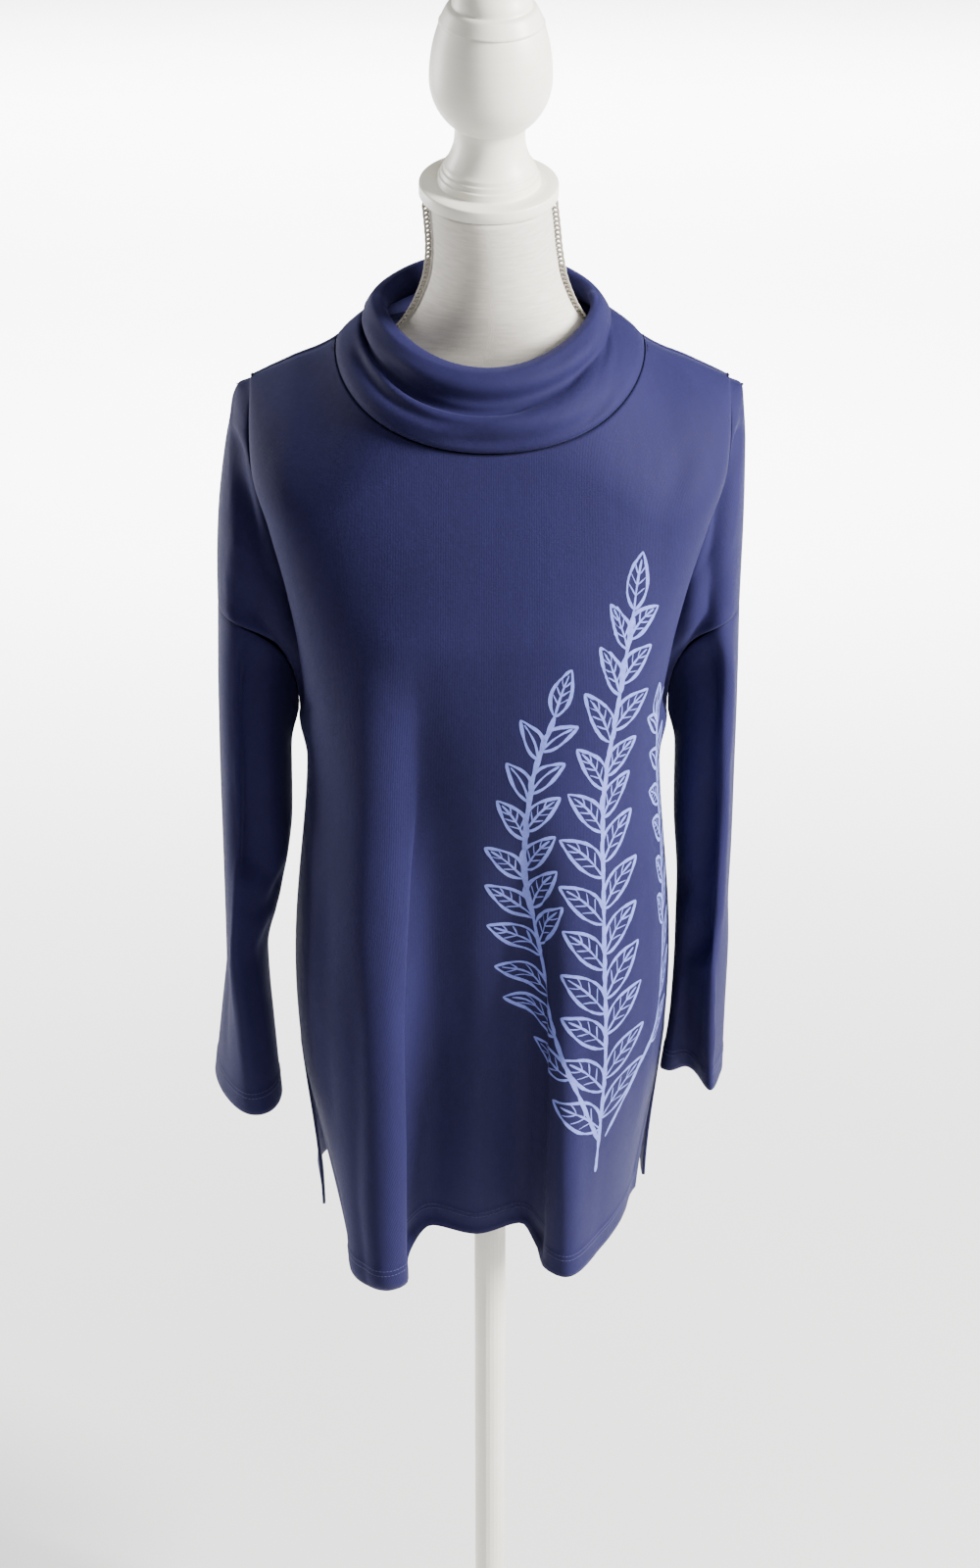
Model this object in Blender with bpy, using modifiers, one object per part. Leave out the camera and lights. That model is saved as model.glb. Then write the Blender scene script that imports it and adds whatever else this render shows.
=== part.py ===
"""A fine-knit tunic sweater worn by a limbless dress form.

Run with: blender --background --python part.py
Units are metres, +Z is up, the front faces -Y, and the origin is under the foot of the form.
Heights in the tables are measured up from the hem's level. Left and right are the viewer's.

The cloth is one surface, worked out from section and fold tables, and cut into the pieces that
a maker sews: front, back, two sleeves and a funnel collar.
"""
import math

import bpy
import numpy as np

# ---- driving sizes ---------------------------------------------------------------------------
HEM_Z = 0.580            # height of the hem's level above the floor
WALL = 0.0016            # thickness of the knit
SEAM_GAP = 0.0003        # between two pieces at a seam
SEAM_PULL = 0.0004       # how far each piece is drawn back from its seam
SHOULDER_PULL = 0.00065  # the same at the shoulder seam, where the wall is seen on its slope
NARROW_PULL = 0.0012     # the same on the dropped shoulder's narrow end of that seam
UNDERARM_PULL = 0.0008   # the same at the point of the underarm
COLLAR_PULL = 0.0010     # and at the collar's own edge on the neckline
TIP_PULL = 0.0016        # and at the shoulder's outer tip, where the walls lie closest
TIP_ROWS = 5             # rows over which that fades to the seams' own distance

SHOULDER_Y = 0.010       # the shoulder seams and the sleeves' outer lines lie in this plane
NECK_HALF_WIDTH = 0.1205
NECK_SIDE_H = 0.783      # neckline at the shoulder seam
NECK_FRONT_H = 0.7245    # neckline at the centre front
NECK_BACK_H = 0.792      # neckline at the centre back
NECK_CURVE = 0.60        # fullness of the neckline's curve
NECK_RISE = 0.050        # how far the shoulder's form would rise inside the neckline
SHOULDER_SLOPE = 0.445   # fall of the shoulder line for each metre out
SHOULDER_ROUND = 0.110   # height over which the shoulder turns from level to upright
FOLD_TOP_X = 0.187       # where the fold between body and sleeve leaves the shoulder seam
TIP_H = 0.7485           # the shoulder line's outer end
ARMHOLE_TOP_H = 0.571    # the dropped armhole's highest point, on the sleeve's outer line
UNDERARM_H = 0.475
VENT_TOP_H = 0.165       # the side vents open below this
UNDERARM_X = {-1: 0.1565, 1: 0.1455}   # where body and sleeve meet, from the middle
ARCH_H = 0.015           # height over which the body's side flares out to that place
FALL_POWER = 1.35        # above 1 the folds grow slowly below the bust
SECTION_X_POWER = 0.77   # squareness of the body's sections
SECTION_Y_POWER = 0.72
FLARE_POWER = 8          # how closely the flare at the underarm keeps to the side

# ---- how finely the pieces are divided ---------------------------------------------------------
BODY_COLUMNS = 30
UPPER_ROWS = 12
LOWER_ROWS = 11
EXTENSION_COLUMNS = 8
SLEEVE_ROWS = 16
COLLAR_COLUMNS = 40
TORSO_COLUMNS = 32

# ---- sections of body and sleeve above the underarm ---------------------------------------------
# height | half-width out to the fold beside the sleeve, left and right | depth at the centre,
# front and back | depth of that fold's bottom, front and back
CHEST_COLUMNS = ("height", "left", "right", "front", "back", "fold_front", "fold_back")
CHEST_ROWS = (
    (0.475, 0.1495, 0.1390, 0.1478, 0.114, 0.000, 0.000),
    (0.482, 0.1492, 0.1386, 0.1480, 0.1145, 0.012, 0.012),
    (0.500, 0.1490, 0.1385, 0.1480, 0.116, 0.026, 0.025),
    (0.550, 0.1520, 0.1440, 0.147, 0.118, 0.040, 0.038),
    (0.600, 0.1600, 0.1545, 0.141, 0.120, 0.046, 0.042),
    (0.650, 0.1720, 0.1690, 0.132, 0.120, 0.048, 0.046),
    (0.700, 0.1840, 0.1825, 0.120, 0.118, 0.050, 0.050),
    (0.760, 0.1870, 0.1870, 0.104, 0.112, 0.050, 0.050),
    (0.840, 0.1870, 0.1870, 0.088, 0.104, 0.040, 0.042),
)

# height | outer line of the shoulder and upper sleeve, left and right | swell of the cloth there
OUTER_COLUMNS = ("height", "left", "right", "swell")
OUTER_ROWS = (
    (0.571, 0.2205, 0.2020, 0.058),
    (0.600, 0.2200, 0.2025, 0.052),
    (0.640, 0.2178, 0.2030, 0.042),
    (0.700, 0.2098, 0.2022, 0.032),
    (0.7485, 0.1990, 0.1985, 0.026),
)

# ---- side seams: place at the hem's level, and how far they bow out half-way down ----------------
SIDE_LEFT = dict(x=-0.158, y=-0.020, bow_x=-0.017, bow_y=0.008)
SIDE_RIGHT = dict(x=0.150, y=0.034, bow_x=0.014, bow_y=0.004)

# how far each corner of the vents swings away from the side seam's line at the hem
VENT_SWING = {
    ("front", -1): (0.028, -0.038, -0.008),
    ("front", 1): (-0.012, -0.005, -0.004),
    ("back", -1): (0.002, 0.014, 0.000),
    ("back", 1): (-0.003, 0.009, 0.000),
}
VENT_REACH = 40.0        # degrees of the section that swing with a vent's corner
VENT_POWER = 1.25

# ---- folds at the hem -----------------------------------------------------------------------------
# angle: place on the bust section, from the left side (-90) to the right side (90)
# x, y, rise: place at the hem; bow_x, bow_y: how far it bows out half-way down
FOLD_COLUMNS = ("name", "angle", "x", "y", "rise", "bow_x", "bow_y")
FRONT_FOLDS = (
    ("side left", -90.0, SIDE_LEFT["x"], SIDE_LEFT["y"], 0.000, SIDE_LEFT["bow_x"], SIDE_LEFT["bow_y"]),
    ("flank left", -64.0, -0.1290, -0.083, -0.002, -0.016, -0.006),
    ("left ridge, outer", -40.0, -0.1105, -0.126, 0.000, -0.003, -0.004),
    ("left ridge", -26.0, -0.0870, -0.141, 0.001, 0.000, -0.002),
    ("left ridge, inner", -18.5, -0.0700, -0.130, 0.002, 0.000, 0.000),
    ("left wall", -15.5, -0.0680, -0.098, 0.005, 0.000, 0.000),
    ("left hollow", -10.5, -0.0510, -0.060, 0.012, 0.000, 0.000),
    ("centre", -2.5, -0.0120, -0.070, 0.010, 0.000, 0.000),
    ("right hollow", 5.5, 0.0270, -0.056, 0.012, 0.000, 0.000),
    ("right wall", 8.6, 0.0385, -0.082, 0.006, 0.000, 0.000),
    ("right ridge, inner", 12.5, 0.0460, -0.110, 0.003, 0.000, 0.000),
    ("right ridge", 20.0, 0.0640, -0.122, 0.001, 0.000, -0.002),
    ("right slope", 38.0, 0.0970, -0.074, 0.000, 0.004, -0.014),
    ("flank right", 62.0, 0.1250, -0.014, 0.000, 0.012, -0.018),
    ("side right", 90.0, SIDE_RIGHT["x"], SIDE_RIGHT["y"], 0.000, SIDE_RIGHT["bow_x"], SIDE_RIGHT["bow_y"]),
)
BACK_FOLDS = (
    ("side left", -90.0, SIDE_LEFT["x"], SIDE_LEFT["y"], 0.000, SIDE_LEFT["bow_x"], SIDE_LEFT["bow_y"]),
    ("flank left", -66.0, -0.1620, 0.060, 0.000, -0.008, 0.004),
    ("left ridge", -42.0, -0.1300, 0.113, -0.004, -0.002, 0.006),
    ("left hollow", -27.0, -0.0900, 0.094, 0.004, 0.000, 0.004),
    ("middle ridge", -14.0, -0.0520, 0.126, -0.003, 0.000, 0.004),
    ("middle hollow", -3.0, -0.0080, 0.098, 0.005, 0.000, 0.000),
    ("right ridge", 10.0, 0.0380, 0.130, -0.002, 0.000, 0.004),
    ("right hollow", 25.0, 0.0800, 0.102, 0.004, 0.000, 0.004),
    ("outer ridge", 43.0, 0.1150, 0.112, -0.002, 0.002, 0.006),
    ("flank right", 66.0, 0.1440, 0.078, 0.000, 0.010, 0.004),
    ("side right", 90.0, SIDE_RIGHT["x"], SIDE_RIGHT["y"], 0.000, SIDE_RIGHT["bow_x"], SIDE_RIGHT["bow_y"]),
)
FOLDS = {"front": FRONT_FOLDS, "back": BACK_FOLDS}

# ---- sleeves ----------------------------------------------------------------------------------------
# height of the section's outer and inner point | their distance from the middle of the body |
# y of the section's middle | depth in front and behind | how far the section slants outwards to
# the back | front ridge, hollow inside it, and the ridge's place in degrees from the inner point
SLEEVE_COLUMNS = (
    "name", "outer_h", "inner_h", "outer_x", "inner_x", "y", "front", "back", "slant",
    "ridge", "hollow", "ridge_at",
)
SLEEVE_ROWS_LEFT = (
    ("armhole", 0.571, 0.475, 0.2205, 0.1565, 0.008, 0.058, 0.058, 0.00, 0.000, 0.000, 125),
    ("upper arm", 0.495, 0.440, 0.2226, 0.1640, 0.004, 0.061, 0.060, 0.00, 0.002, 0.000, 125),
    ("above elbow", 0.400, 0.380, 0.2238, 0.1655, 0.000, 0.060, 0.060, 0.00, 0.004, 0.002, 125),
    ("elbow", 0.310, 0.310, 0.2240, 0.1770, -0.002, 0.057, 0.058, 0.00, 0.006, 0.005, 125),
    ("below elbow", 0.255, 0.255, 0.2255, 0.1895, -0.003, 0.055, 0.056, 0.06, 0.006, 0.004, 125),
    ("forearm", 0.190, 0.190, 0.2320, 0.1870, 0.000, 0.055, 0.054, 0.16, 0.004, 0.002, 125),
    ("cuff", 0.120, 0.120, 0.2390, 0.1840, 0.004, 0.057, 0.054, 0.28, 0.002, 0.000, 125),
)
SLEEVE_ROWS_RIGHT = (
    ("armhole", 0.571, 0.475, 0.2020, 0.1455, 0.008, 0.058, 0.058, 0.00, 0.000, 0.000, 125),
    ("upper arm", 0.495, 0.440, 0.2030, 0.1530, 0.008, 0.058, 0.060, 0.00, 0.003, 0.000, 125),
    ("above elbow", 0.400, 0.380, 0.2036, 0.1545, 0.010, 0.054, 0.058, 0.00, 0.005, 0.003, 122),
    ("elbow", 0.310, 0.310, 0.2046, 0.1590, 0.014, 0.050, 0.054, 0.04, 0.007, 0.005, 118),
    ("below elbow", 0.255, 0.255, 0.2060, 0.1590, 0.016, 0.046, 0.052, 0.06, 0.009, 0.008, 112),
    ("forearm", 0.190, 0.190, 0.2050, 0.1570, 0.016, 0.034, 0.052, 0.08, 0.016, 0.013, 116),
    ("cuff", 0.128, 0.128, 0.2045, 0.1500, 0.016, 0.014, 0.050, 0.08, 0.030, 0.014, 130),
)
SLEEVES = {-1: SLEEVE_ROWS_LEFT, 1: SLEEVE_ROWS_RIGHT}
HOLLOW_INSIDE = 48.0     # degrees from the ridge in to the hollow
RIDGE_SPREAD = 24.0
ARMHOLE_BLEND = 0.30     # share of the sleeve over which the armhole's own line fades out

# ---- collar -------------------------------------------------------------------------------------------
# one row for each ring, from the seam up over the rolled edge and down inside; follow is how
# closely the ring keeps to the neckline's own outline, x how far it slips aside
COLLAR_COLUMNS_NAMES = (
    "name", "half_width", "front_y", "back_y", "front_h", "side_h", "back_h", "follow", "x",
)
COLLAR_ROWS = (
    ("above the seam", 0.1165, -0.1180, 0.0900, 0.7300, 0.7880, 0.7990, 0.95, -0.0005),
    ("bulge", 0.1095, -0.1195, 0.0905, 0.7385, 0.7930, 0.8060, 0.80, -0.0010),
    ("under the crease", 0.1020, -0.1140, 0.0880, 0.7490, 0.7970, 0.8130, 0.55, -0.0020),
    ("crease", 0.0960, -0.1040, 0.0840, 0.7560, 0.8000, 0.8190, 0.35, -0.0030),
    ("band, lower", 0.0960, -0.1025, 0.0835, 0.7630, 0.8045, 0.8240, 0.25, -0.0030),
    ("band, upper", 0.0930, -0.0975, 0.0810, 0.7750, 0.8110, 0.8310, 0.10, -0.0030),
    ("roll, outer", 0.0880, -0.0895, 0.0760, 0.7825, 0.8165, 0.8375, 0.00, -0.0030),
    ("roll, top", 0.0835, -0.0815, 0.0705, 0.7835, 0.8170, 0.8390, 0.00, -0.0020),
    ("roll, inner", 0.0800, -0.0750, 0.0655, 0.7800, 0.8135, 0.8360, 0.00, -0.0010),
    ("inside", 0.0800, -0.0740, 0.0650, 0.7700, 0.8055, 0.8270, 0.00, 0.0000),
    ("inside, lower", 0.0870, -0.0800, 0.0700, 0.7560, 0.7970, 0.8130, 0.00, 0.0000),
)
COLLAR_Y_POWER = 0.92
COLLAR_H_POWER = 1.60

# ---- dress form -----------------------------------------------------------------------------------------
# height | half-width | depth in front and behind | where the section's middle lies
TORSO_COLUMNS_NAMES = ("height", "half_width", "front", "back", "x", "y")
TORSO_ROWS = (
    (0.2150, 0.112, 0.066, 0.070, 0.000, 0.000),
    (0.2210, 0.124, 0.077, 0.082, 0.000, 0.000),
    (0.2400, 0.131, 0.084, 0.089, 0.000, 0.000),
    (0.2800, 0.130, 0.086, 0.090, 0.000, 0.000),
    (0.3400, 0.114, 0.082, 0.078, 0.000, 0.000),
    (0.4000, 0.117, 0.094, 0.084, 0.000, 0.000),
    (0.4600, 0.126, 0.122, 0.092, 0.000, 0.000),
    (0.5200, 0.129, 0.134, 0.098, 0.000, 0.000),
    (0.5800, 0.133, 0.126, 0.102, 0.000, 0.000),
    (0.6400, 0.142, 0.108, 0.102, 0.000, 0.000),
    (0.6900, 0.150, 0.086, 0.096, 0.000, 0.004),
    (0.7200, 0.150, 0.066, 0.084, 0.000, 0.006),
    (0.7420, 0.139, 0.050, 0.066, 0.000, 0.006),
    (0.7620, 0.114, 0.045, 0.054, 0.001, 0.004),
    (0.7800, 0.090, 0.046, 0.050, 0.002, 0.000),
    (0.8000, 0.0725, 0.049, 0.049, 0.003, -0.005),
    (0.8200, 0.0610, 0.050, 0.049, 0.003, -0.010),
    (0.8450, 0.0530, 0.0500, 0.0495, 0.003, -0.016),
    (0.8700, 0.0505, 0.0500, 0.0500, 0.002, -0.022),
    (0.9020, 0.0500, 0.0500, 0.0500, -0.001, -0.030),
)
FORM_LEAN = 15.0         # degrees that the top of the neck and its cap lean forward
FORM_ROLL = 1.0          # and to the right
LEAN_FROM = 0.800        # the neck's sections begin to slant here
NECK_TOP_H = TORSO_ROWS[-1][0]

# the turned cap: distance along its axis from its underside | radius
CAP_PROFILE = (
    (0.0000, 0.0512), (0.0012, 0.0525), (0.0088, 0.0525), (0.0100, 0.0515),
    (0.0102, 0.0396), (0.0112, 0.0382), (0.0156, 0.0382), (0.0166, 0.0374),
    (0.0170, 0.0364), (0.0200, 0.0362), (0.0210, 0.0354),
    (0.0214, 0.0344), (0.0240, 0.0342), (0.0250, 0.0334),
    (0.0320, 0.0296), (0.0400, 0.0270), (0.0480, 0.0262),
)
KNOB_MIDDLE = 0.0920     # the knob's widest place along the axis
KNOB_RADIUS = 0.0452
KNOB_RISE = 0.0760       # from there to its top
KNOB_FROM = 35.0         # degrees from the axis below, where the knob leaves its stem
KNOB_STEPS = 6
KNOB_LIP = 0.0412        # its two turned lines, above the widest place
KNOB_LEDGE = 0.0545
LINE_DEPTH = 0.0012
CAP_STEPS = 24

POLE_RADIUS = 0.014
POLE_SIDES = 24
FOOT_PROFILE = (          # radius | height
    (0.022, 0.032), (0.026, 0.029), (0.030, 0.022), (0.160, 0.0185), (0.176, 0.0150),
    (0.180, 0.0100), (0.180, 0.0040), (0.177, 0.0000),
)
FOOT_STEPS = 48


# ---- reading the tables ------------------------------------------------------------------------------------
def column(rows, names, name):
    """One named column of a table."""
    return np.array([row[names.index(name)] for row in rows], float)


def smooth(at, values, where):
    """A curve through the values that keeps their rises and falls, and never overshoots."""
    at = np.asarray(at, float)
    values = np.asarray(values, float)
    where = np.clip(np.asarray(where, float), at[0], at[-1])
    step = np.diff(at)
    slope = np.diff(values) / step
    tangent = np.zeros(len(at))
    for k in range(1, len(at) - 1):
        if slope[k - 1] * slope[k] > 0:
            near = 2 * step[k] + step[k - 1]
            far = step[k] + 2 * step[k - 1]
            tangent[k] = (near + far) / (near / slope[k - 1] + far / slope[k])
    tangent[0] = slope[0]
    tangent[-1] = slope[-1]
    k = np.clip(np.searchsorted(at, where, side="right") - 1, 0, len(step) - 1)
    t = (where - at[k]) / step[k]
    return (
        values[k] * (1 + 2 * t) * (1 - t) ** 2 + values[k + 1] * t * t * (3 - 2 * t)
        + step[k] * (tangent[k] * t * (1 - t) ** 2 + tangent[k + 1] * t * t * (t - 1))
    )


def chest(name, height):
    return smooth(column(CHEST_ROWS, CHEST_COLUMNS, "height"), column(CHEST_ROWS, CHEST_COLUMNS, name), height)


def outer(name, height):
    return smooth(column(OUTER_ROWS, OUTER_COLUMNS, "height"), column(OUTER_ROWS, OUTER_COLUMNS, name), height)


def fold(face, name, angle):
    rows = FOLDS[face]
    return smooth(column(rows, FOLD_COLUMNS, "angle"), column(rows, FOLD_COLUMNS, name), angle)


def ease(t):
    t = np.clip(t, 0.0, 1.0)
    return t * t * (3 - 2 * t)


def side_name(side):
    return "left" if side < 0 else "right"


def face_sign(face):
    return -1.0 if face == "front" else 1.0


# ---- the cloth's surface -----------------------------------------------------------------------------------
def shoulder_height(x):
    """Height of the shoulder line, and inside the neckline of the form that would carry it on."""
    x = abs(x)
    if x > NECK_HALF_WIDTH:
        return NECK_SIDE_H - SHOULDER_SLOPE * (x - NECK_HALF_WIDTH)
    return NECK_SIDE_H + NECK_RISE * (1 - (x / NECK_HALF_WIDTH) ** 2)


def neckline_height(face, x):
    middle = NECK_FRONT_H if face == "front" else NECK_BACK_H
    inside = max(0.0, 1 - (x / NECK_HALF_WIDTH) ** 2)
    return NECK_SIDE_H + (middle - NECK_SIDE_H) * inside ** NECK_CURVE


def flare(side, height):
    """How far the body's side reaches out beside the underarm, to meet the sleeve."""
    reach = UNDERARM_X[side] - float(chest(side_name(side), UNDERARM_H))
    return reach * math.exp(-((height - UNDERARM_H) / ARCH_H) ** 2)


def round_shoulder(x, y, height):
    """Turn the cloth from level at the shoulder line to upright below it."""
    t = min(max((shoulder_height(x) - height) / SHOULDER_ROUND, 0.0), 1.0)
    return SHOULDER_Y + (y - SHOULDER_Y) * math.sqrt(1 - (1 - t) ** 2)


def section(face, angle, height):
    """Body section above the underarm: x and y for an angle from -90, left, to 90, right."""
    side = -1 if angle < 0 else 1
    turn = math.radians(abs(angle))
    half = float(chest(side_name(side), height))
    middle = float(chest(face, height))
    edge = float(chest("fold_" + face, height))
    x = side * (half * math.sin(turn) ** SECTION_X_POWER + flare(side, height) * math.sin(turn) ** FLARE_POWER)
    y = edge + (middle - edge) * max(0.0, math.cos(turn)) ** SECTION_Y_POWER
    return x, face_sign(face) * y


def top_edge(face, angle):
    """Where a column begins: on the shoulder seam or on the neckline. Returns x and height."""
    x = math.copysign(FOLD_TOP_X * math.sin(math.radians(abs(angle))) ** SECTION_X_POWER, angle)
    if abs(x) >= NECK_HALF_WIDTH:
        return x, shoulder_height(x)
    return x, neckline_height(face, x)


def neck_angle():
    """The column that ends where neckline and shoulder seam meet."""
    return math.degrees(math.asin((NECK_HALF_WIDTH / FOLD_TOP_X) ** (1 / SECTION_X_POWER)))


def upper_point(face, angle, share):
    """Body from its top edge, share 0, down to the underarm's level, share 1."""
    x_top, h_top = top_edge(face, angle)
    height = h_top - (h_top - UNDERARM_H) * share
    x, y = section(face, angle, height)
    x = x_top + (x - x_top) * float(ease((h_top - height) / 0.10))
    return x, round_shoulder(x, y, height), height


def vent_swing(face, angle, height):
    """How far the corners of the vents swing, faded out round the section."""
    drop = max(0.0, (VENT_TOP_H - height) / VENT_TOP_H) ** VENT_POWER
    total = np.zeros(3)
    for side in (-1, 1):
        near = float(ease(1 - (90.0 - side * angle) / VENT_REACH))
        total += np.array(VENT_SWING[(face, side)]) * near * drop
    return total


def lower_point(face, angle, fall):
    """Body from the underarm's level, fall 0, to the hem, fall 1."""
    chest_x, chest_y = section(face, angle, UNDERARM_H)
    depth = fall ** FALL_POWER
    bow = math.sin(math.pi * fall) ** 2
    side = -1 if angle < 0 else 1
    share = abs(math.sin(math.radians(angle))) ** FLARE_POWER
    arch = side * share * (flare(side, UNDERARM_H * (1 - fall)) - flare(side, UNDERARM_H))
    x = chest_x + (float(fold(face, "x", angle)) - chest_x) * depth
    y = chest_y + (float(fold(face, "y", angle)) - chest_y) * depth
    height = UNDERARM_H * (1 - fall) + float(fold(face, "rise", angle)) * fall ** 2
    x += float(fold(face, "bow_x", angle)) * bow + arch
    y += float(fold(face, "bow_y", angle)) * bow
    return np.array((x, y, height)) + vent_swing(face, angle, UNDERARM_H * (1 - fall))


def extension_point(face, side, across, share):
    """The dropped shoulder, from the fold beside the body, across 0, to its outer line, across 1."""
    fold_top = shoulder_height(FOLD_TOP_X)
    fold_h = fold_top - (fold_top - UNDERARM_H) * share
    outer_h = TIP_H - (TIP_H - ARMHOLE_TOP_H) * share
    height = fold_h + (outer_h - fold_h) * (1 - (1 - across) ** 3)
    name = side_name(side)
    inner_x = float(chest(name, fold_h)) + flare(side, fold_h)
    inner_x = FOLD_TOP_X + (inner_x - FOLD_TOP_X) * float(ease((fold_top - fold_h) / 0.10))
    outer_x = float(outer(name, outer_h))
    along = (1 - math.cos(math.pi * across)) / 2
    x = side * (inner_x + (outer_x - inner_x) * along)
    edge = face_sign(face) * float(chest("fold_" + face, fold_h))
    swell = float(outer("swell", outer_h)) * math.sin(math.pi * across ** 1.4)
    y = edge + (SHOULDER_Y - edge) * along + face_sign(face) * swell
    top_x = FOLD_TOP_X + (float(outer(name, TIP_H)) - FOLD_TOP_X) * along
    top_h = fold_top + (TIP_H - fold_top) * (1 - (1 - across) ** 3)
    below_line = shoulder_height(top_x) - top_h
    return x, round_shoulder(x, y, height + below_line), height


def neckline_point(turn):
    """The neckline for a turn from 0 at the centre front, round by the right, to 360."""
    across = math.sin(math.radians(turn)) * NECK_HALF_WIDTH
    face = "front" if math.cos(math.radians(turn)) > 0 else "back"
    height = neckline_height(face, across)
    angle = math.degrees(math.asin(min(1.0, abs(across) / FOLD_TOP_X) ** (1 / SECTION_X_POWER)))
    y = section(face, math.copysign(angle, across), height)[1]
    return across, round_shoulder(across, y, height), height


# ---- building meshes -----------------------------------------------------------------------------------------
def collection(name):
    made = bpy.data.collections.new(name)
    bpy.context.scene.collection.children.link(made)
    return made


def material(name, colour, roughness, metallic=0.0, sheen=0.0):
    made = bpy.data.materials.new(name)
    made.use_nodes = True
    shader = made.node_tree.nodes["Principled BSDF"]
    shader.inputs["Base Color"].default_value = (*colour, 1.0)
    shader.inputs["Roughness"].default_value = roughness
    shader.inputs["Metallic"].default_value = metallic
    shader.inputs["Sheen Weight"].default_value = sheen
    made.diffuse_color = (*colour, 1.0)
    return made


def new_object(name, points, faces, finish, home, lift=HEM_Z):
    mesh = bpy.data.meshes.new(name)
    mesh.from_pydata([(x, y, h + lift) for x, y, h in points], [], faces)
    mesh.validate()
    mesh.shade_smooth()
    mesh.materials.append(finish)
    made = bpy.data.objects.new(name, mesh)
    home.objects.link(made)
    return made


def thicken(piece):
    """Give an open surface the knit's thickness, inwards."""
    wall = piece.modifiers.new("knit wall", "SOLIDIFY")
    wall.thickness = WALL
    wall.offset = -1.0
    wall.use_even_offset = False
    wall.use_quality_normals = True
    return piece


def draw_back(point, towards, amount=SEAM_PULL):
    point = np.array(point, float)
    way = np.array(towards, float) - point
    return point + way / np.linalg.norm(way) * amount


def body_angles(face):
    """Columns spread evenly between bust and hem, with one on each fold and each neckline corner."""
    spots = np.linspace(-1, 1, 401)
    angles = 90 * np.sign(spots) * np.abs(spots) ** 1.25
    run = np.zeros(len(angles))
    for fall in (0.0, 1.0):
        line = np.array([lower_point(face, a, fall) for a in angles])
        length = np.concatenate([[0], np.cumsum(np.linalg.norm(np.diff(line, axis=0), axis=1))])
        run += length / length[-1]
    even = np.interp(np.linspace(0, run[-1], BODY_COLUMNS + 1), run, angles)
    free = np.ones(len(even), bool)
    free[[0, -1]] = False
    for place in (-neck_angle(), neck_angle(), *(row[1] for row in FOLDS[face][1:-1])):
        nearest = np.argmin(np.abs(even - place) + np.where(free, 0.0, 360.0))
        even[nearest] = place
        free[nearest] = False
    return np.sort(even)


def build_panel(face, finish, home):
    """Front or back: the body, and on each side its half of the dropped shoulder."""
    angles = body_angles(face)
    last = len(angles) - 1
    shares = np.linspace(0, 1, UPPER_ROWS + 1) ** 1.5
    falls = np.linspace(0, 1, LOWER_ROWS + 1)[1:]
    body = [[upper_point(face, a, s) for a in angles] for s in shares]
    body += [[lower_point(face, a, f) for a in angles] for f in falls]
    body = np.array(body, float)
    across = np.linspace(0, 1, EXTENSION_COLUMNS + 1)[1:]
    extension = {
        side: np.array([[extension_point(face, side, e, s) for e in across] for s in shares])
        for side in (-1, 1)
    }
    edge = {-1: 0, 1: last}
    inward = {-1: 1, 1: last - 1}

    pulled = body.copy()
    for k in range(last + 1):
        pulled[0, k] = draw_back(body[0, k], body[1, k], SHOULDER_PULL)
    for side in (-1, 1):
        pulled[0, edge[side]] = draw_back(body[0, edge[side]], body[1, edge[side]], NARROW_PULL)
        for r in range(UPPER_ROWS + 1, len(body)):
            pulled[r, edge[side]] = draw_back(body[r, edge[side]], body[r, inward[side]])
        corner = body[UPPER_ROWS, edge[side]]
        pulled[UPPER_ROWS, edge[side]] = draw_back(corner, body[UPPER_ROWS, inward[side]], UNDERARM_PULL)
        part = extension[side]
        drawn = part.copy()
        for k in range(EXTENSION_COLUMNS):
            drawn[0, k] = draw_back(part[0, k], part[1, k], NARROW_PULL)
            drawn[-1, k] = draw_back(part[-1, k], part[-2, k])
        for r in range(UPPER_ROWS + 1):
            near_tip = max(0.0, 1 - r / TIP_ROWS)
            amount = SEAM_PULL + (TIP_PULL - SEAM_PULL) * near_tip
            drawn[r, -1] = draw_back(drawn[r, -1], part[max(r, 1), -2], amount)
        extension[side] = drawn

    points = [tuple(p) for row in pulled for p in row]
    index = np.arange(len(points)).reshape(pulled.shape[:2])
    faces = []

    def quad(a, b, c, d, flip):
        faces.append((a, d, c, b) if flip else (a, b, c, d))

    back = face == "back"
    for r in range(len(body) - 1):
        for k in range(last):
            quad(index[r, k], index[r + 1, k], index[r + 1, k + 1], index[r, k + 1], back)
    for side in (-1, 1):
        start = len(points)
        points += [tuple(p) for row in extension[side] for p in row]
        added = np.arange(start, len(points)).reshape(UPPER_ROWS + 1, EXTENSION_COLUMNS)
        grid = np.hstack([index[:UPPER_ROWS + 1, edge[side]][:, None], added])
        for r in range(UPPER_ROWS):
            for k in range(EXTENSION_COLUMNS):
                quad(grid[r, k], grid[r + 1, k], grid[r + 1, k + 1], grid[r, k + 1], back != (side < 0))
    return thicken(new_object(face, points, faces, finish, home))


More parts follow.
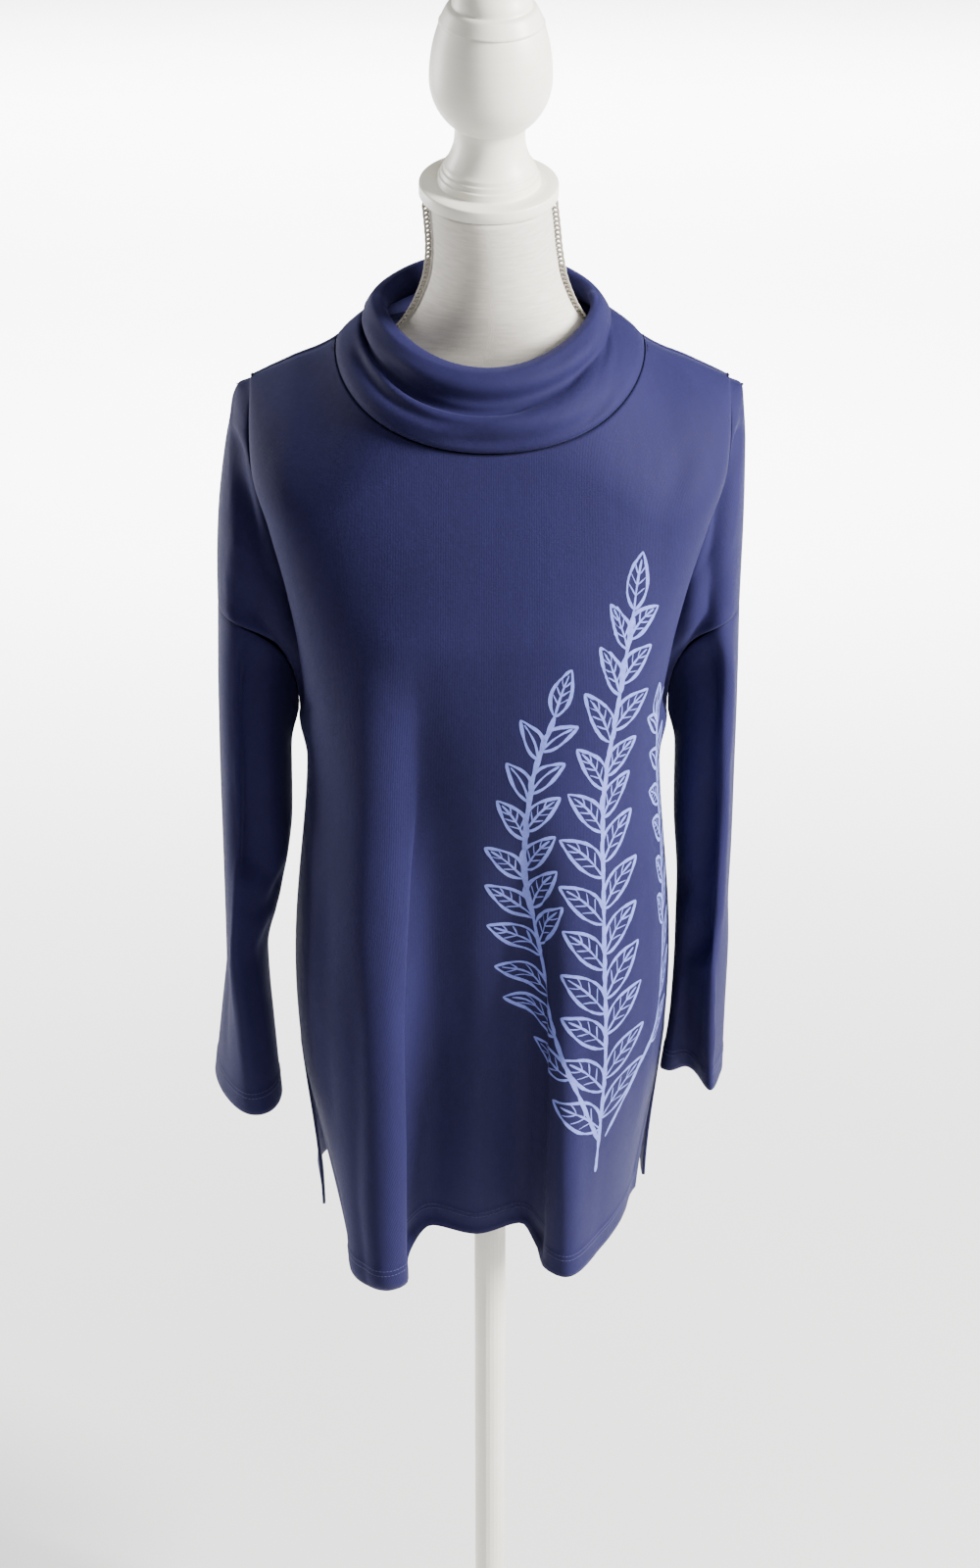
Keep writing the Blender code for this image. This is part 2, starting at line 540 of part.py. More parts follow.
def sleeve_ring(side, share):
    """One section of a sleeve, from its inner point over the front, the outer line and the back."""
    rows = SLEEVES[side]
    stations = np.linspace(0, 1, len(rows))
    values = {n: float(smooth(stations, column(rows, SLEEVE_COLUMNS, n), share)) for n in SLEEVE_COLUMNS[1:]}
    ring = []
    steps = EXTENSION_COLUMNS
    for k in range(4 * steps // 2):
        front = k < steps
        across = k / steps if front else 2 - k / steps
        turn = 180.0 * across
        face = "front" if front else "back"
        along = (1 - math.cos(math.radians(turn))) / 2
        x = side * (values["inner_x"] + (values["outer_x"] - values["inner_x"]) * along)
        depth = values[face] * math.sin(math.radians(180.0 * across ** 1.15))
        if front:
            inside = turn - values["ridge_at"]
            depth += values["ridge"] * math.exp(-(inside / RIDGE_SPREAD) ** 2)
            depth -= values["hollow"] * math.exp(-((inside + HOLLOW_INSIDE) / RIDGE_SPREAD) ** 2)
        x += side * values["slant"] * face_sign(face) * depth
        y = values["y"] + face_sign(face) * depth
        height = values["inner_h"] + (values["outer_h"] - values["inner_h"]) * along
        point = np.array((x, y, height))
        if share < ARMHOLE_BLEND:
            seam = np.array(extension_point(face, side, across, 1.0))
            start = np.array(armhole_base(side, face, across, along))
            point = point + (seam - start) * float(1 - ease(share / ARMHOLE_BLEND))
        ring.append(point)
    return ring


def armhole_base(side, face, across, along):
    """The armhole's place if it were a plain section, to measure the true line against."""
    first = dict(zip(SLEEVE_COLUMNS, SLEEVES[side][0]))
    x = side * (first["inner_x"] + (first["outer_x"] - first["inner_x"]) * along)
    y = first["y"] + face_sign(face) * first[face] * math.sin(math.radians(180.0 * across ** 1.15))
    return x, y, first["inner_h"] + (first["outer_h"] - first["inner_h"]) * along


def build_sleeve(name, side, finish, home):
    shares = np.linspace(0, 1, SLEEVE_ROWS + 1) ** 1.15
    rings = [sleeve_ring(side, s) for s in shares]
    rings[0] = [
        draw_back(p, q, UNDERARM_PULL if k == 0 else SEAM_PULL)
        for k, (p, q) in enumerate(zip(rings[0], rings[1]))
    ]
    around = len(rings[0])
    points = [tuple(p) for ring in rings for p in ring]
    faces = []
    for r in range(len(rings) - 1):
        for k in range(around):
            a = r * around + k
            b = r * around + (k + 1) % around
            loop = (a, a + around, b + around, b)
            faces.append(loop if side > 0 else loop[::-1])
    return thicken(new_object(name, points, faces, finish, home))


def collar_ring(row, turn):
    """A point on one of the collar's rings for a turn from 0 at the centre front."""
    place = dict(zip(COLLAR_COLUMNS_NAMES, row))
    sine = math.sin(math.radians(turn))
    cosine = math.cos(math.radians(turn))
    end_y, end_h = ("front_y", "front_h") if cosine > 0 else ("back_y", "back_h")
    seam_end = neckline_point(0 if cosine > 0 else 180)
    seam = neckline_point(turn)
    seam_y = (seam[1] - SHOULDER_Y) / (seam_end[1] - SHOULDER_Y)
    seam_h = (seam[2] - NECK_SIDE_H) / (seam_end[2] - NECK_SIDE_H)
    lean = abs(cosine)
    lean_y = lean ** COLLAR_Y_POWER
    lean_h = lean ** COLLAR_H_POWER
    lean_y += (seam_y - lean_y) * place["follow"]
    lean_h += (seam_h - lean_h) * place["follow"]
    x = place["x"] + place["half_width"] * sine
    y = SHOULDER_Y + (place[end_y] - SHOULDER_Y) * lean_y
    height = place["side_h"] + (place[end_h] - place["side_h"]) * lean_h
    return np.array((x, y, height))


def build_collar(finish, home):
    turns = np.arange(COLLAR_COLUMNS) * 360.0 / COLLAR_COLUMNS
    rings = [[np.array(neckline_point(t)) for t in turns]]
    rings += [[collar_ring(row, t) for t in turns] for row in COLLAR_ROWS]
    rings[0] = [draw_back(p, q, COLLAR_PULL) for p, q in zip(rings[0], rings[1])]
    points = [tuple(p) for ring in rings for p in ring]
    faces = []
    for r in range(len(rings) - 1):
        for k in range(COLLAR_COLUMNS):
            a = r * COLLAR_COLUMNS + k
            b = r * COLLAR_COLUMNS + (k + 1) % COLLAR_COLUMNS
            faces.append((a, b, b + COLLAR_COLUMNS, a + COLLAR_COLUMNS))
    return thicken(new_object("collar", points, faces, finish, home))


def build_torso(finish, home):
    """The covered torso and neck: a closed loft through the table's sections."""
    points = []
    for row in TORSO_ROWS:
        place = dict(zip(TORSO_COLUMNS_NAMES, row))
        slanted = max(0.0, (place["height"] - LEAN_FROM) / (NECK_TOP_H - LEAN_FROM))
        forward = math.tan(math.radians(FORM_LEAN)) * slanted
        aside = math.tan(math.radians(FORM_ROLL)) / math.cos(math.radians(FORM_LEAN)) * slanted
        for k in range(TORSO_COLUMNS):
            turn = 2 * math.pi * k / TORSO_COLUMNS
            depth = place["front"] if math.cos(turn) > 0 else place["back"]
            x = place["x"] + place["half_width"] * math.sin(turn)
            y = place["y"] - depth * math.cos(turn)
            height = place["height"] + (y - place["y"]) * forward - (x - place["x"]) * aside
            points.append((x, y, height))
    faces = []
    for r in range(len(TORSO_ROWS) - 1):
        for k in range(TORSO_COLUMNS):
            a = r * TORSO_COLUMNS + k
            b = r * TORSO_COLUMNS + (k + 1) % TORSO_COLUMNS
            faces.append((a, b, b + TORSO_COLUMNS, a + TORSO_COLUMNS))
    faces.append(tuple(range(TORSO_COLUMNS))[::-1])
    faces.append(tuple(range(len(points) - TORSO_COLUMNS, len(points))))
    return new_object("form_torso", points, faces, finish, home)


def build_turned(name, profile, steps, finish, home):
    """A turned piece: its profile, radius and height from top to bottom, swept round the axis."""
    mesh = bpy.data.meshes.new(name)
    mesh.from_pydata([(r, 0.0, z) for r, z in profile], [(k, k + 1) for k in range(len(profile) - 1)], [])
    mesh.materials.append(finish)
    made = bpy.data.objects.new(name, mesh)
    home.objects.link(made)
    turn = made.modifiers.new("turned", "SCREW")
    turn.steps = steps
    turn.render_steps = steps
    turn.use_merge_vertices = True
    turn.merge_threshold = 0.00001
    turn.use_smooth_shade = True
    return made


def knob_radius(rise):
    return KNOB_RADIUS * math.sqrt(max(0.0, 1 - (rise / KNOB_RISE) ** 2))


def cap_profile():
    """Plate, three rings, cove and knob, as radius and height from top to bottom."""
    line = [(0.0, 0.0)] + list(CAP_PROFILE)
    for k in range(KNOB_STEPS + 1):
        turn = math.radians(KNOB_FROM + (90.0 - KNOB_FROM) * k / KNOB_STEPS)
        line.append((KNOB_MIDDLE - KNOB_RADIUS * math.cos(turn), KNOB_RADIUS * math.sin(turn)))
    for k in range(1, KNOB_STEPS + 1):
        rise = KNOB_LIP * k / KNOB_STEPS
        line.append((KNOB_MIDDLE + rise, knob_radius(rise)))
    lip = KNOB_LIP + LINE_DEPTH
    line.append((KNOB_MIDDLE + lip, knob_radius(KNOB_LIP) + LINE_DEPTH / 2))
    line.append((KNOB_MIDDLE + (lip + KNOB_LEDGE) / 2, knob_radius((lip + KNOB_LEDGE) / 2) + LINE_DEPTH / 2))
    line.append((KNOB_MIDDLE + KNOB_LEDGE, knob_radius(KNOB_LEDGE)))
    for k in range(KNOB_STEPS):
        turn = math.radians(90.0 * k / KNOB_STEPS)
        top = KNOB_LEDGE + LINE_DEPTH / 2 + (KNOB_RISE - KNOB_LEDGE) * math.sin(turn)
        line.append((KNOB_MIDDLE + top, (knob_radius(KNOB_LEDGE) - 2 * LINE_DEPTH) * math.cos(turn)))
    line.append((KNOB_MIDDLE + KNOB_RISE + LINE_DEPTH / 2, 0.0))
    return [(r, z) for z, r in reversed(line)]


def build_cap(finish, home):
    cap = build_turned("form_cap", cap_profile(), CAP_STEPS, finish, home)
    neck = dict(zip(TORSO_COLUMNS_NAMES, TORSO_ROWS[-1]))
    cap.location = (neck["x"], neck["y"], NECK_TOP_H + HEM_Z + SEAM_GAP)
    cap.rotation_euler = (math.radians(FORM_LEAN), math.radians(FORM_ROLL), 0.0)
    return cap


def build_pole(finish, home):
    bottom = FOOT_PROFILE[0][1] + SEAM_GAP
    top = HEM_Z + TORSO_ROWS[0][0] - SEAM_GAP
    bpy.ops.mesh.primitive_cylinder_add(
        vertices=POLE_SIDES, radius=POLE_RADIUS, depth=top - bottom, location=(0, 0, (top + bottom) / 2)
    )
    pole = bpy.context.object
    pole.name = "form_pole"
    pole.data.name = "form_pole"
    pole.data.materials.append(finish)
    pole.data.shade_smooth()
    for old in pole.users_collection:
        old.objects.unlink(pole)
    home.objects.link(pole)
    return pole


def build_foot(finish, home):
    profile = [(0.0, FOOT_PROFILE[0][1])] + list(FOOT_PROFILE) + [(0.0, 0.0)]
    return build_turned("form_foot", profile, FOOT_STEPS, finish, home)


def main():
    for old in list(bpy.data.objects):
        bpy.data.objects.remove(old, do_unlink=True)
    home = collection("sweater_on_dress_form")
    navy = (0.022, 0.024, 0.085)
    build_panel("front", material("knit front", navy, 0.85, sheen=0.3), home)
    build_panel("back", material("knit back", navy, 0.85, sheen=0.3), home)
    build_sleeve("sleeve_left", -1, material("knit left sleeve", navy, 0.85, sheen=0.3), home)
    build_sleeve("sleeve_right", 1, material("knit right sleeve", navy, 0.85, sheen=0.3), home)
    build_collar(material("knit collar", navy, 0.85, sheen=0.3), home)
    build_torso(material("linen cover", (0.66, 0.64, 0.60), 0.9), home)
    build_cap(material("painted cap", (0.80, 0.78, 0.70), 0.45), home)
    build_pole(material("painted pole", (0.78, 0.76, 0.68), 0.45), home)
    build_foot(material("painted foot", (0.79, 0.77, 0.69), 0.45), home)


main()
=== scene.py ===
"""Looks of a fine-knit tunic sweater worn by a limbless dress form.

Metres, +Z up, the front faces -Y. Heights in the tables are measured up from the hem's level,
and left and right are the viewer's. The cloth's shells follow the same sizes as its solids.
"""
import math

import bpy
import numpy as np
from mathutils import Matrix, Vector


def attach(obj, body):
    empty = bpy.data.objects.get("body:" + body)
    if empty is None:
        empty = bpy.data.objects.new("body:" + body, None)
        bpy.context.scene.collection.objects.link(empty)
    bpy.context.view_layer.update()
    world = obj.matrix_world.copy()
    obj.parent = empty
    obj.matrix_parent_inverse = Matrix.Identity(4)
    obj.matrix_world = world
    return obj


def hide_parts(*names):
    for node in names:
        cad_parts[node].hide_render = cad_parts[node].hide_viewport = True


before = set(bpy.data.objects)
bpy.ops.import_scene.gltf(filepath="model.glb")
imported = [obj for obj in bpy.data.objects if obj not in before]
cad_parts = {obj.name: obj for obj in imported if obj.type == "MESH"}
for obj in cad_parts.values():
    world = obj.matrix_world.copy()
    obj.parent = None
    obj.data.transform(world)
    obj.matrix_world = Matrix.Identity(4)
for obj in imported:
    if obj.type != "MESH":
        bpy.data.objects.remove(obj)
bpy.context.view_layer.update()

# ---- sizes of the cloth ----
HEM_Z = 0.580
SHOULDER_Y = 0.010
NECK_HALF_WIDTH = 0.1205
NECK_SIDE_H = 0.783
NECK_FRONT_H = 0.7245
NECK_BACK_H = 0.792
NECK_CURVE = 0.60
NECK_RISE = 0.050
CORNER_EASE = (0.085, 0.155)
SHOULDER_SLOPE = 0.445
SHOULDER_ROUND = 0.110
FOLD_TOP_X = 0.187
TIP_H = 0.7485
ARMHOLE_TOP_H = 0.571
UNDERARM_H = 0.475
VENT_TOP_H = 0.165
UNDERARM_X = {-1: 0.1565, 1: 0.1455}
ARCH_H = 0.015
FALL_POWER = 1.35
SECTION_X_POWER = 0.77
SECTION_Y_POWER = 0.72
FLARE_POWER = 8

CHEST_COLUMNS = ("height", "left", "right", "front", "back", "fold_front", "fold_back")
CHEST_ROWS = (
    (0.475, 0.1495, 0.1390, 0.1478, 0.114, 0.000, 0.000),
    (0.482, 0.1492, 0.1386, 0.1480, 0.1145, 0.012, 0.012),
    (0.500, 0.1490, 0.1385, 0.1480, 0.116, 0.026, 0.025),
    (0.550, 0.1520, 0.1440, 0.147, 0.118, 0.040, 0.038),
    (0.600, 0.1600, 0.1545, 0.141, 0.120, 0.046, 0.042),
    (0.650, 0.1720, 0.1690, 0.132, 0.120, 0.048, 0.046),
    (0.700, 0.1840, 0.1825, 0.120, 0.118, 0.050, 0.050),
    (0.760, 0.1870, 0.1870, 0.104, 0.112, 0.050, 0.050),
    (0.840, 0.1870, 0.1870, 0.088, 0.104, 0.040, 0.042),
)
OUTER_COLUMNS = ("height", "left", "right", "swell")
OUTER_ROWS = (
    (0.571, 0.2205, 0.2020, 0.058),
    (0.600, 0.2200, 0.2025, 0.052),
    (0.640, 0.2178, 0.2030, 0.042),
    (0.700, 0.2098, 0.2022, 0.032),
    (0.7485, 0.1990, 0.1985, 0.026),
)
SIDE_LEFT = dict(x=-0.158, y=-0.020, bow_x=-0.017, bow_y=0.008)
SIDE_RIGHT = dict(x=0.150, y=0.034, bow_x=0.014, bow_y=0.004)
VENT_SWING = {
    ("front", -1): (0.028, -0.038, -0.008),
    ("front", 1): (-0.012, -0.005, -0.004),
    ("back", -1): (0.002, 0.014, 0.000),
    ("back", 1): (-0.003, 0.009, 0.000),
}
VENT_REACH = 40.0
VENT_POWER = 1.25
FOLD_COLUMNS = ("name", "angle", "x", "y", "rise", "bow_x", "bow_y")
FRONT_FOLDS = (
    ("side left", -90.0, SIDE_LEFT["x"], SIDE_LEFT["y"], 0.000, SIDE_LEFT["bow_x"], SIDE_LEFT["bow_y"]),
    ("flank left", -64.0, -0.1290, -0.083, -0.002, -0.016, -0.006),
    ("left ridge, outer", -40.0, -0.1105, -0.126, 0.000, -0.003, -0.004),
    ("left ridge", -26.0, -0.0870, -0.141, 0.001, 0.000, -0.002),
    ("left ridge, inner", -18.5, -0.0700, -0.130, 0.002, 0.000, 0.000),
    ("left wall", -15.5, -0.0680, -0.098, 0.005, 0.000, 0.000),
    ("left hollow", -10.5, -0.0510, -0.060, 0.012, 0.000, 0.000),
    ("centre", -2.5, -0.0120, -0.070, 0.010, 0.000, 0.000),
    ("right hollow", 5.5, 0.0270, -0.056, 0.012, 0.000, 0.000),
    ("right wall", 8.6, 0.0385, -0.082, 0.006, 0.000, 0.000),
    ("right ridge, inner", 12.5, 0.0460, -0.110, 0.003, 0.000, 0.000),
    ("right ridge", 20.0, 0.0640, -0.122, 0.001, 0.000, -0.002),
    ("right slope", 38.0, 0.0970, -0.074, 0.000, 0.004, -0.014),
    ("flank right", 62.0, 0.1250, -0.014, 0.000, 0.012, -0.018),
    ("side right", 90.0, SIDE_RIGHT["x"], SIDE_RIGHT["y"], 0.000, SIDE_RIGHT["bow_x"], SIDE_RIGHT["bow_y"]),
)
BACK_FOLDS = (
    ("side left", -90.0, SIDE_LEFT["x"], SIDE_LEFT["y"], 0.000, SIDE_LEFT["bow_x"], SIDE_LEFT["bow_y"]),
    ("flank left", -66.0, -0.1620, 0.060, 0.000, -0.008, 0.004),
    ("left ridge", -42.0, -0.1300, 0.113, -0.004, -0.002, 0.006),
    ("left hollow", -27.0, -0.0900, 0.094, 0.004, 0.000, 0.004),
    ("middle ridge", -14.0, -0.0520, 0.126, -0.003, 0.000, 0.004),
    ("middle hollow", -3.0, -0.0080, 0.098, 0.005, 0.000, 0.000),
    ("right ridge", 10.0, 0.0380, 0.130, -0.002, 0.000, 0.004),
    ("right hollow", 25.0, 0.0800, 0.102, 0.004, 0.000, 0.004),
    ("outer ridge", 43.0, 0.1150, 0.112, -0.002, 0.002, 0.006),
    ("flank right", 66.0, 0.1440, 0.078, 0.000, 0.010, 0.004),
    ("side right", 90.0, SIDE_RIGHT["x"], SIDE_RIGHT["y"], 0.000, SIDE_RIGHT["bow_x"], SIDE_RIGHT["bow_y"]),
)
FOLDS = {"front": FRONT_FOLDS, "back": BACK_FOLDS}

SLEEVE_COLUMNS = (
    "name", "outer_h", "inner_h", "outer_x", "inner_x", "y", "front", "back", "slant",
    "ridge", "hollow", "ridge_at",
)
SLEEVE_ROWS_LEFT = (
    ("armhole", 0.571, 0.475, 0.2205, 0.1565, 0.008, 0.058, 0.058, 0.00, 0.000, 0.000, 125),
    ("upper arm", 0.495, 0.440, 0.2226, 0.1640, 0.004, 0.061, 0.060, 0.00, 0.002, 0.000, 125),
    ("above elbow", 0.400, 0.380, 0.2238, 0.1655, 0.000, 0.060, 0.060, 0.00, 0.004, 0.002, 125),
    ("elbow", 0.310, 0.310, 0.2240, 0.1770, -0.002, 0.057, 0.058, 0.00, 0.006, 0.005, 125),
    ("below elbow", 0.255, 0.255, 0.2255, 0.1895, -0.003, 0.055, 0.056, 0.06, 0.006, 0.004, 125),
    ("forearm", 0.190, 0.190, 0.2320, 0.1870, 0.000, 0.055, 0.054, 0.16, 0.004, 0.002, 125),
    ("cuff", 0.120, 0.120, 0.2390, 0.1840, 0.004, 0.057, 0.054, 0.28, 0.002, 0.000, 125),
)
SLEEVE_ROWS_RIGHT = (
    ("armhole", 0.571, 0.475, 0.2020, 0.1455, 0.008, 0.058, 0.058, 0.00, 0.000, 0.000, 125),
    ("upper arm", 0.495, 0.440, 0.2030, 0.1530, 0.008, 0.058, 0.060, 0.00, 0.003, 0.000, 125),
    ("above elbow", 0.400, 0.380, 0.2036, 0.1545, 0.010, 0.054, 0.058, 0.00, 0.005, 0.003, 122),
    ("elbow", 0.310, 0.310, 0.2046, 0.1590, 0.014, 0.050, 0.054, 0.04, 0.007, 0.005, 118),
    ("below elbow", 0.255, 0.255, 0.2060, 0.1590, 0.016, 0.046, 0.052, 0.06, 0.009, 0.008, 112),
    ("forearm", 0.190, 0.190, 0.2050, 0.1570, 0.016, 0.034, 0.052, 0.08, 0.016, 0.013, 116),
    ("cuff", 0.128, 0.128, 0.2045, 0.1500, 0.016, 0.014, 0.050, 0.08, 0.030, 0.014, 130),
)
SLEEVES = {-1: SLEEVE_ROWS_LEFT, 1: SLEEVE_ROWS_RIGHT}
HOLLOW_INSIDE = 48.0
RIDGE_SPREAD = 24.0
ARMHOLE_BLEND = 0.30

COLLAR_NAMES = ("name", "half_width", "front_y", "back_y", "front_h", "side_h", "back_h", "follow", "x")
COLLAR_ROWS = (
    ("above the seam", 0.1165, -0.1180, 0.0900, 0.7300, 0.7880, 0.7990, 0.95, -0.0005),
    ("bulge", 0.1095, -0.1195, 0.0905, 0.7385, 0.7930, 0.8060, 0.80, -0.0010),
    ("under the crease", 0.1020, -0.1172, 0.0880, 0.7500, 0.7970, 0.8130, 0.55, -0.0020),
    ("crease", 0.0960, -0.1055, 0.0840, 0.7568, 0.8000, 0.8190, 0.35, -0.0030),
    ("band, lower", 0.0960, -0.1015, 0.0835, 0.7630, 0.8045, 0.8240, 0.25, -0.0030),
    ("band, upper", 0.0930, -0.1008, 0.0810, 0.7750, 0.8110, 0.8310, 0.10, -0.0030),
    ("roll, outer", 0.0880, -0.0950, 0.0760, 0.7825, 0.8165, 0.8375, 0.00, -0.0030),
    ("roll, top", 0.0835, -0.0860, 0.0705, 0.7838, 0.8170, 0.8390, 0.00, -0.0020),
    ("roll, inner", 0.0800, -0.0785, 0.0655, 0.7800, 0.8135, 0.8360, 0.00, -0.0010),
    ("inside", 0.0800, -0.0770, 0.0650, 0.7700, 0.8055, 0.8270, 0.00, 0.0000),
    ("inside, lower", 0.0870, -0.0800, 0.0700, 0.7560, 0.7970, 0.8130, 0.00, 0.0000),
)
COLLAR_Y_POWER = 0.92
COLLAR_H_POWER = 1.60

# ---- sizes of the form ----
TORSO_NAMES = ("height", "half_width", "front", "back", "x", "y")
TORSO_ROWS = (
    (0.2150, 0.112, 0.066, 0.070, 0.000, 0.000),
    (0.2210, 0.124, 0.077, 0.082, 0.000, 0.000),
    (0.2400, 0.131, 0.084, 0.089, 0.000, 0.000),
    (0.2800, 0.130, 0.086, 0.090, 0.000, 0.000),
    (0.3400, 0.114, 0.082, 0.078, 0.000, 0.000),
    (0.4000, 0.117, 0.094, 0.084, 0.000, 0.000),
    (0.4600, 0.126, 0.122, 0.092, 0.000, 0.000),
    (0.5200, 0.129, 0.134, 0.098, 0.000, 0.000),
    (0.5800, 0.133, 0.126, 0.102, 0.000, 0.000),
    (0.6400, 0.142, 0.108, 0.102, 0.000, 0.000),
    (0.6900, 0.150, 0.086, 0.096, 0.000, 0.004),
    (0.7200, 0.150, 0.066, 0.084, 0.000, 0.006),
    (0.7420, 0.139, 0.050, 0.066, 0.000, 0.006),
    (0.7620, 0.114, 0.045, 0.054, 0.001, 0.004),
    (0.7800, 0.090, 0.046, 0.050, 0.002, 0.000),
    (0.8000, 0.0725, 0.049, 0.049, 0.003, -0.005),
    (0.8200, 0.0610, 0.050, 0.049, 0.003, -0.010),
    (0.8450, 0.0530, 0.0500, 0.0495, 0.003, -0.016),
    (0.8700, 0.0505, 0.0500, 0.0500, 0.002, -0.022),
    (0.9020, 0.0500, 0.0500, 0.0500, -0.001, -0.030),
)
FORM_LEAN = 15.0
FORM_ROLL = 1.0
LEAN_FROM = 0.800
NECK_TOP_H = 0.9020
FORM_STEPS = 88
FORM_ROUND = 0.62        # length round the torso that the cover's weave is laid out on
CAP_GAP = 0.0003
CAP_PROFILE = (
    (0.0000, 0.0512), (0.0004, 0.0520), (0.0012, 0.0525), (0.0088, 0.0525), (0.0096, 0.0522),
    (0.0100, 0.0515), (0.0101, 0.0450),
    (0.0102, 0.0396), (0.0106, 0.0386), (0.0112, 0.0382), (0.0156, 0.0382), (0.0162, 0.0379),
    (0.0166, 0.0374), (0.0168, 0.0367),
    (0.0172, 0.0364), (0.0200, 0.0362), (0.0206, 0.0359), (0.0210, 0.0354), (0.0212, 0.0347),
    (0.0216, 0.0344), (0.0240, 0.0342), (0.0246, 0.0339), (0.0250, 0.0334),
    (0.0280, 0.0314), (0.0320, 0.0296), (0.0360, 0.0281), (0.0400, 0.0270), (0.0440, 0.0264),
    (0.0480, 0.0262),
)
NECK_SLIM = 0.0034       # room that the braid takes up beside the neck
GIMP_FROM_TO = (0.780, 0.9005)   # heights
GIMP_STEPS = 640
GIMP_OVER = 0.0007       # how far the looping cords pass over and under, and their lift
GIMP_LIFT = 0.0006
GIMP_EDGE_GAP = 0.0005
GIMP_EDGE_CORD = 0.0006
GIMP_RISE = 0.0022       # how far the braid's middle stands off the cover
GIMP_TILT = 52.0         # the braid is sewn on edge: 0 would lie flat, 90 stands straight out
GIMP_HALF = 0.0030
GIMP_CORD = 0.00092
GIMP_LOOP = 0.0074
KNOB_MIDDLE = 0.0920
KNOB_RADIUS = 0.0452
KNOB_RISE = 0.0760
KNOB_FROM = 35.0
KNOB_STEPS = 16
KNOB_LIP = 0.0412
KNOB_LEDGE = 0.0545
LINE_DEPTH = 0.0012
CAP_STEPS = 96

# ---- how finely the shells are divided ----
PANEL_COLUMNS = {"front": 150, "back": 110}
PANEL_WIDTH = 0.50       # rough sizes that the columns and rows are spread over
UPPER_LENGTH = 0.30
EXTENSION_WIDTH = 0.10
SLEEVE_LENGTH = 0.43
UPPER_STEP = 0.0045      # height between rows above the underarm
LOWER_STEP = {"front": 0.0042, "back": 0.0052}
EXTENSION_STEPS = 26
SLEEVE_HALF_STEPS = 44
SLEEVE_STEP = 0.0050
COLLAR_STEPS = 150
COLLAR_ROWS_NEAR_SEAM = (0, 0.06, 0.13, 0.22, 0.34, 0.5, 0.7)   # in rows of the collar's table
COLLAR_ROW_STEP = 0.155
COLLAR_CALM = 0.006      # its creases die out this close to the seam
NEAR_SEAM = (0.0006, 0.0013, 0.0022, 0.0034, 0.0052, 0.0078)   # rows close to a seam
NEAR_CORNER = (0.12, 0.35, 0.75, 1.3)   # columns close to a corner of the neckline, in degrees
CLOTH = 0.0026           # thickness of the turned hems; elsewhere the cloth is SINGLE of it
SINGLE = 0.56
HEM_TURN = 0.022         # depth of the turned hems, and of the facings at the vents
VENT_FACING = 0.014
PANEL_TURN_RISE = 0.0005     # how far the turned cloth stands out on a panel, and on a sleeve
SLEEVE_TURN_RISE = 0.0004
EDGE_CALM = 0.004        # creases die out this close to a hem, and to the shoulder's fold
SHOULDER_CALM = 0.012
GROOVE = 0.0010          # depth and width of the valley at a seam
GROOVE_WIDTH = 0.0015
UNDERARM_GROOVE = 0.0022
JOIN_REACH = 0.055       # a panel's two parts blend over this length, less within JOIN_FADE of its sides
JOIN_FADE = 20.0
ALLOWANCE_WIDE = 0.0080
# the turned-in edges: distance down from the seam and depth under the cloth, for panels and collar
PANEL_ALLOWANCE = ((-0.0026, 0.0030), (0.0006, 0.0026), (0.0040, 0.0024), (ALLOWANCE_WIDE, 0.0023))
COLLAR_ALLOWANCE = ((-0.0050, 0.0020), (-0.0015, 0.0021), (0.0032, 0.0022))
# the shoulder's corners sit a little lower: how far, and over what distance
CORNER_DROPS = {"fold": (0.0009, 0.0035), "tip": (0.0026, 0.0045)}
HEM_STITCH_ROWS = (0.0170, 0.0215)
CUFF_STITCH_ROWS = (0.0165, 0.0210)
STITCH_PITCH = 0.0031
STITCH_LENGTH = 0.0024
STITCH_RADIUS = 0.00024
STITCH_LIFT = 0.0001
STITCH_SIDES = 5
# the rings of one stitch: place along it, width and rise
STITCH_PROFILE = ((-0.5, 0.35, -1.0), (-0.36, 1.0, 0.1), (0.36, 1.0, 0.1), (0.5, 0.35, -1.0))
# groove depth at each kind of seam; it also sets how dark the knit's painted shade in that seam is
SEAM_DEPTH = {"neckline": 1.0, "shoulder": 0.45, "armhole": 0.75, "side": 0.55, "underarm": 0.6}

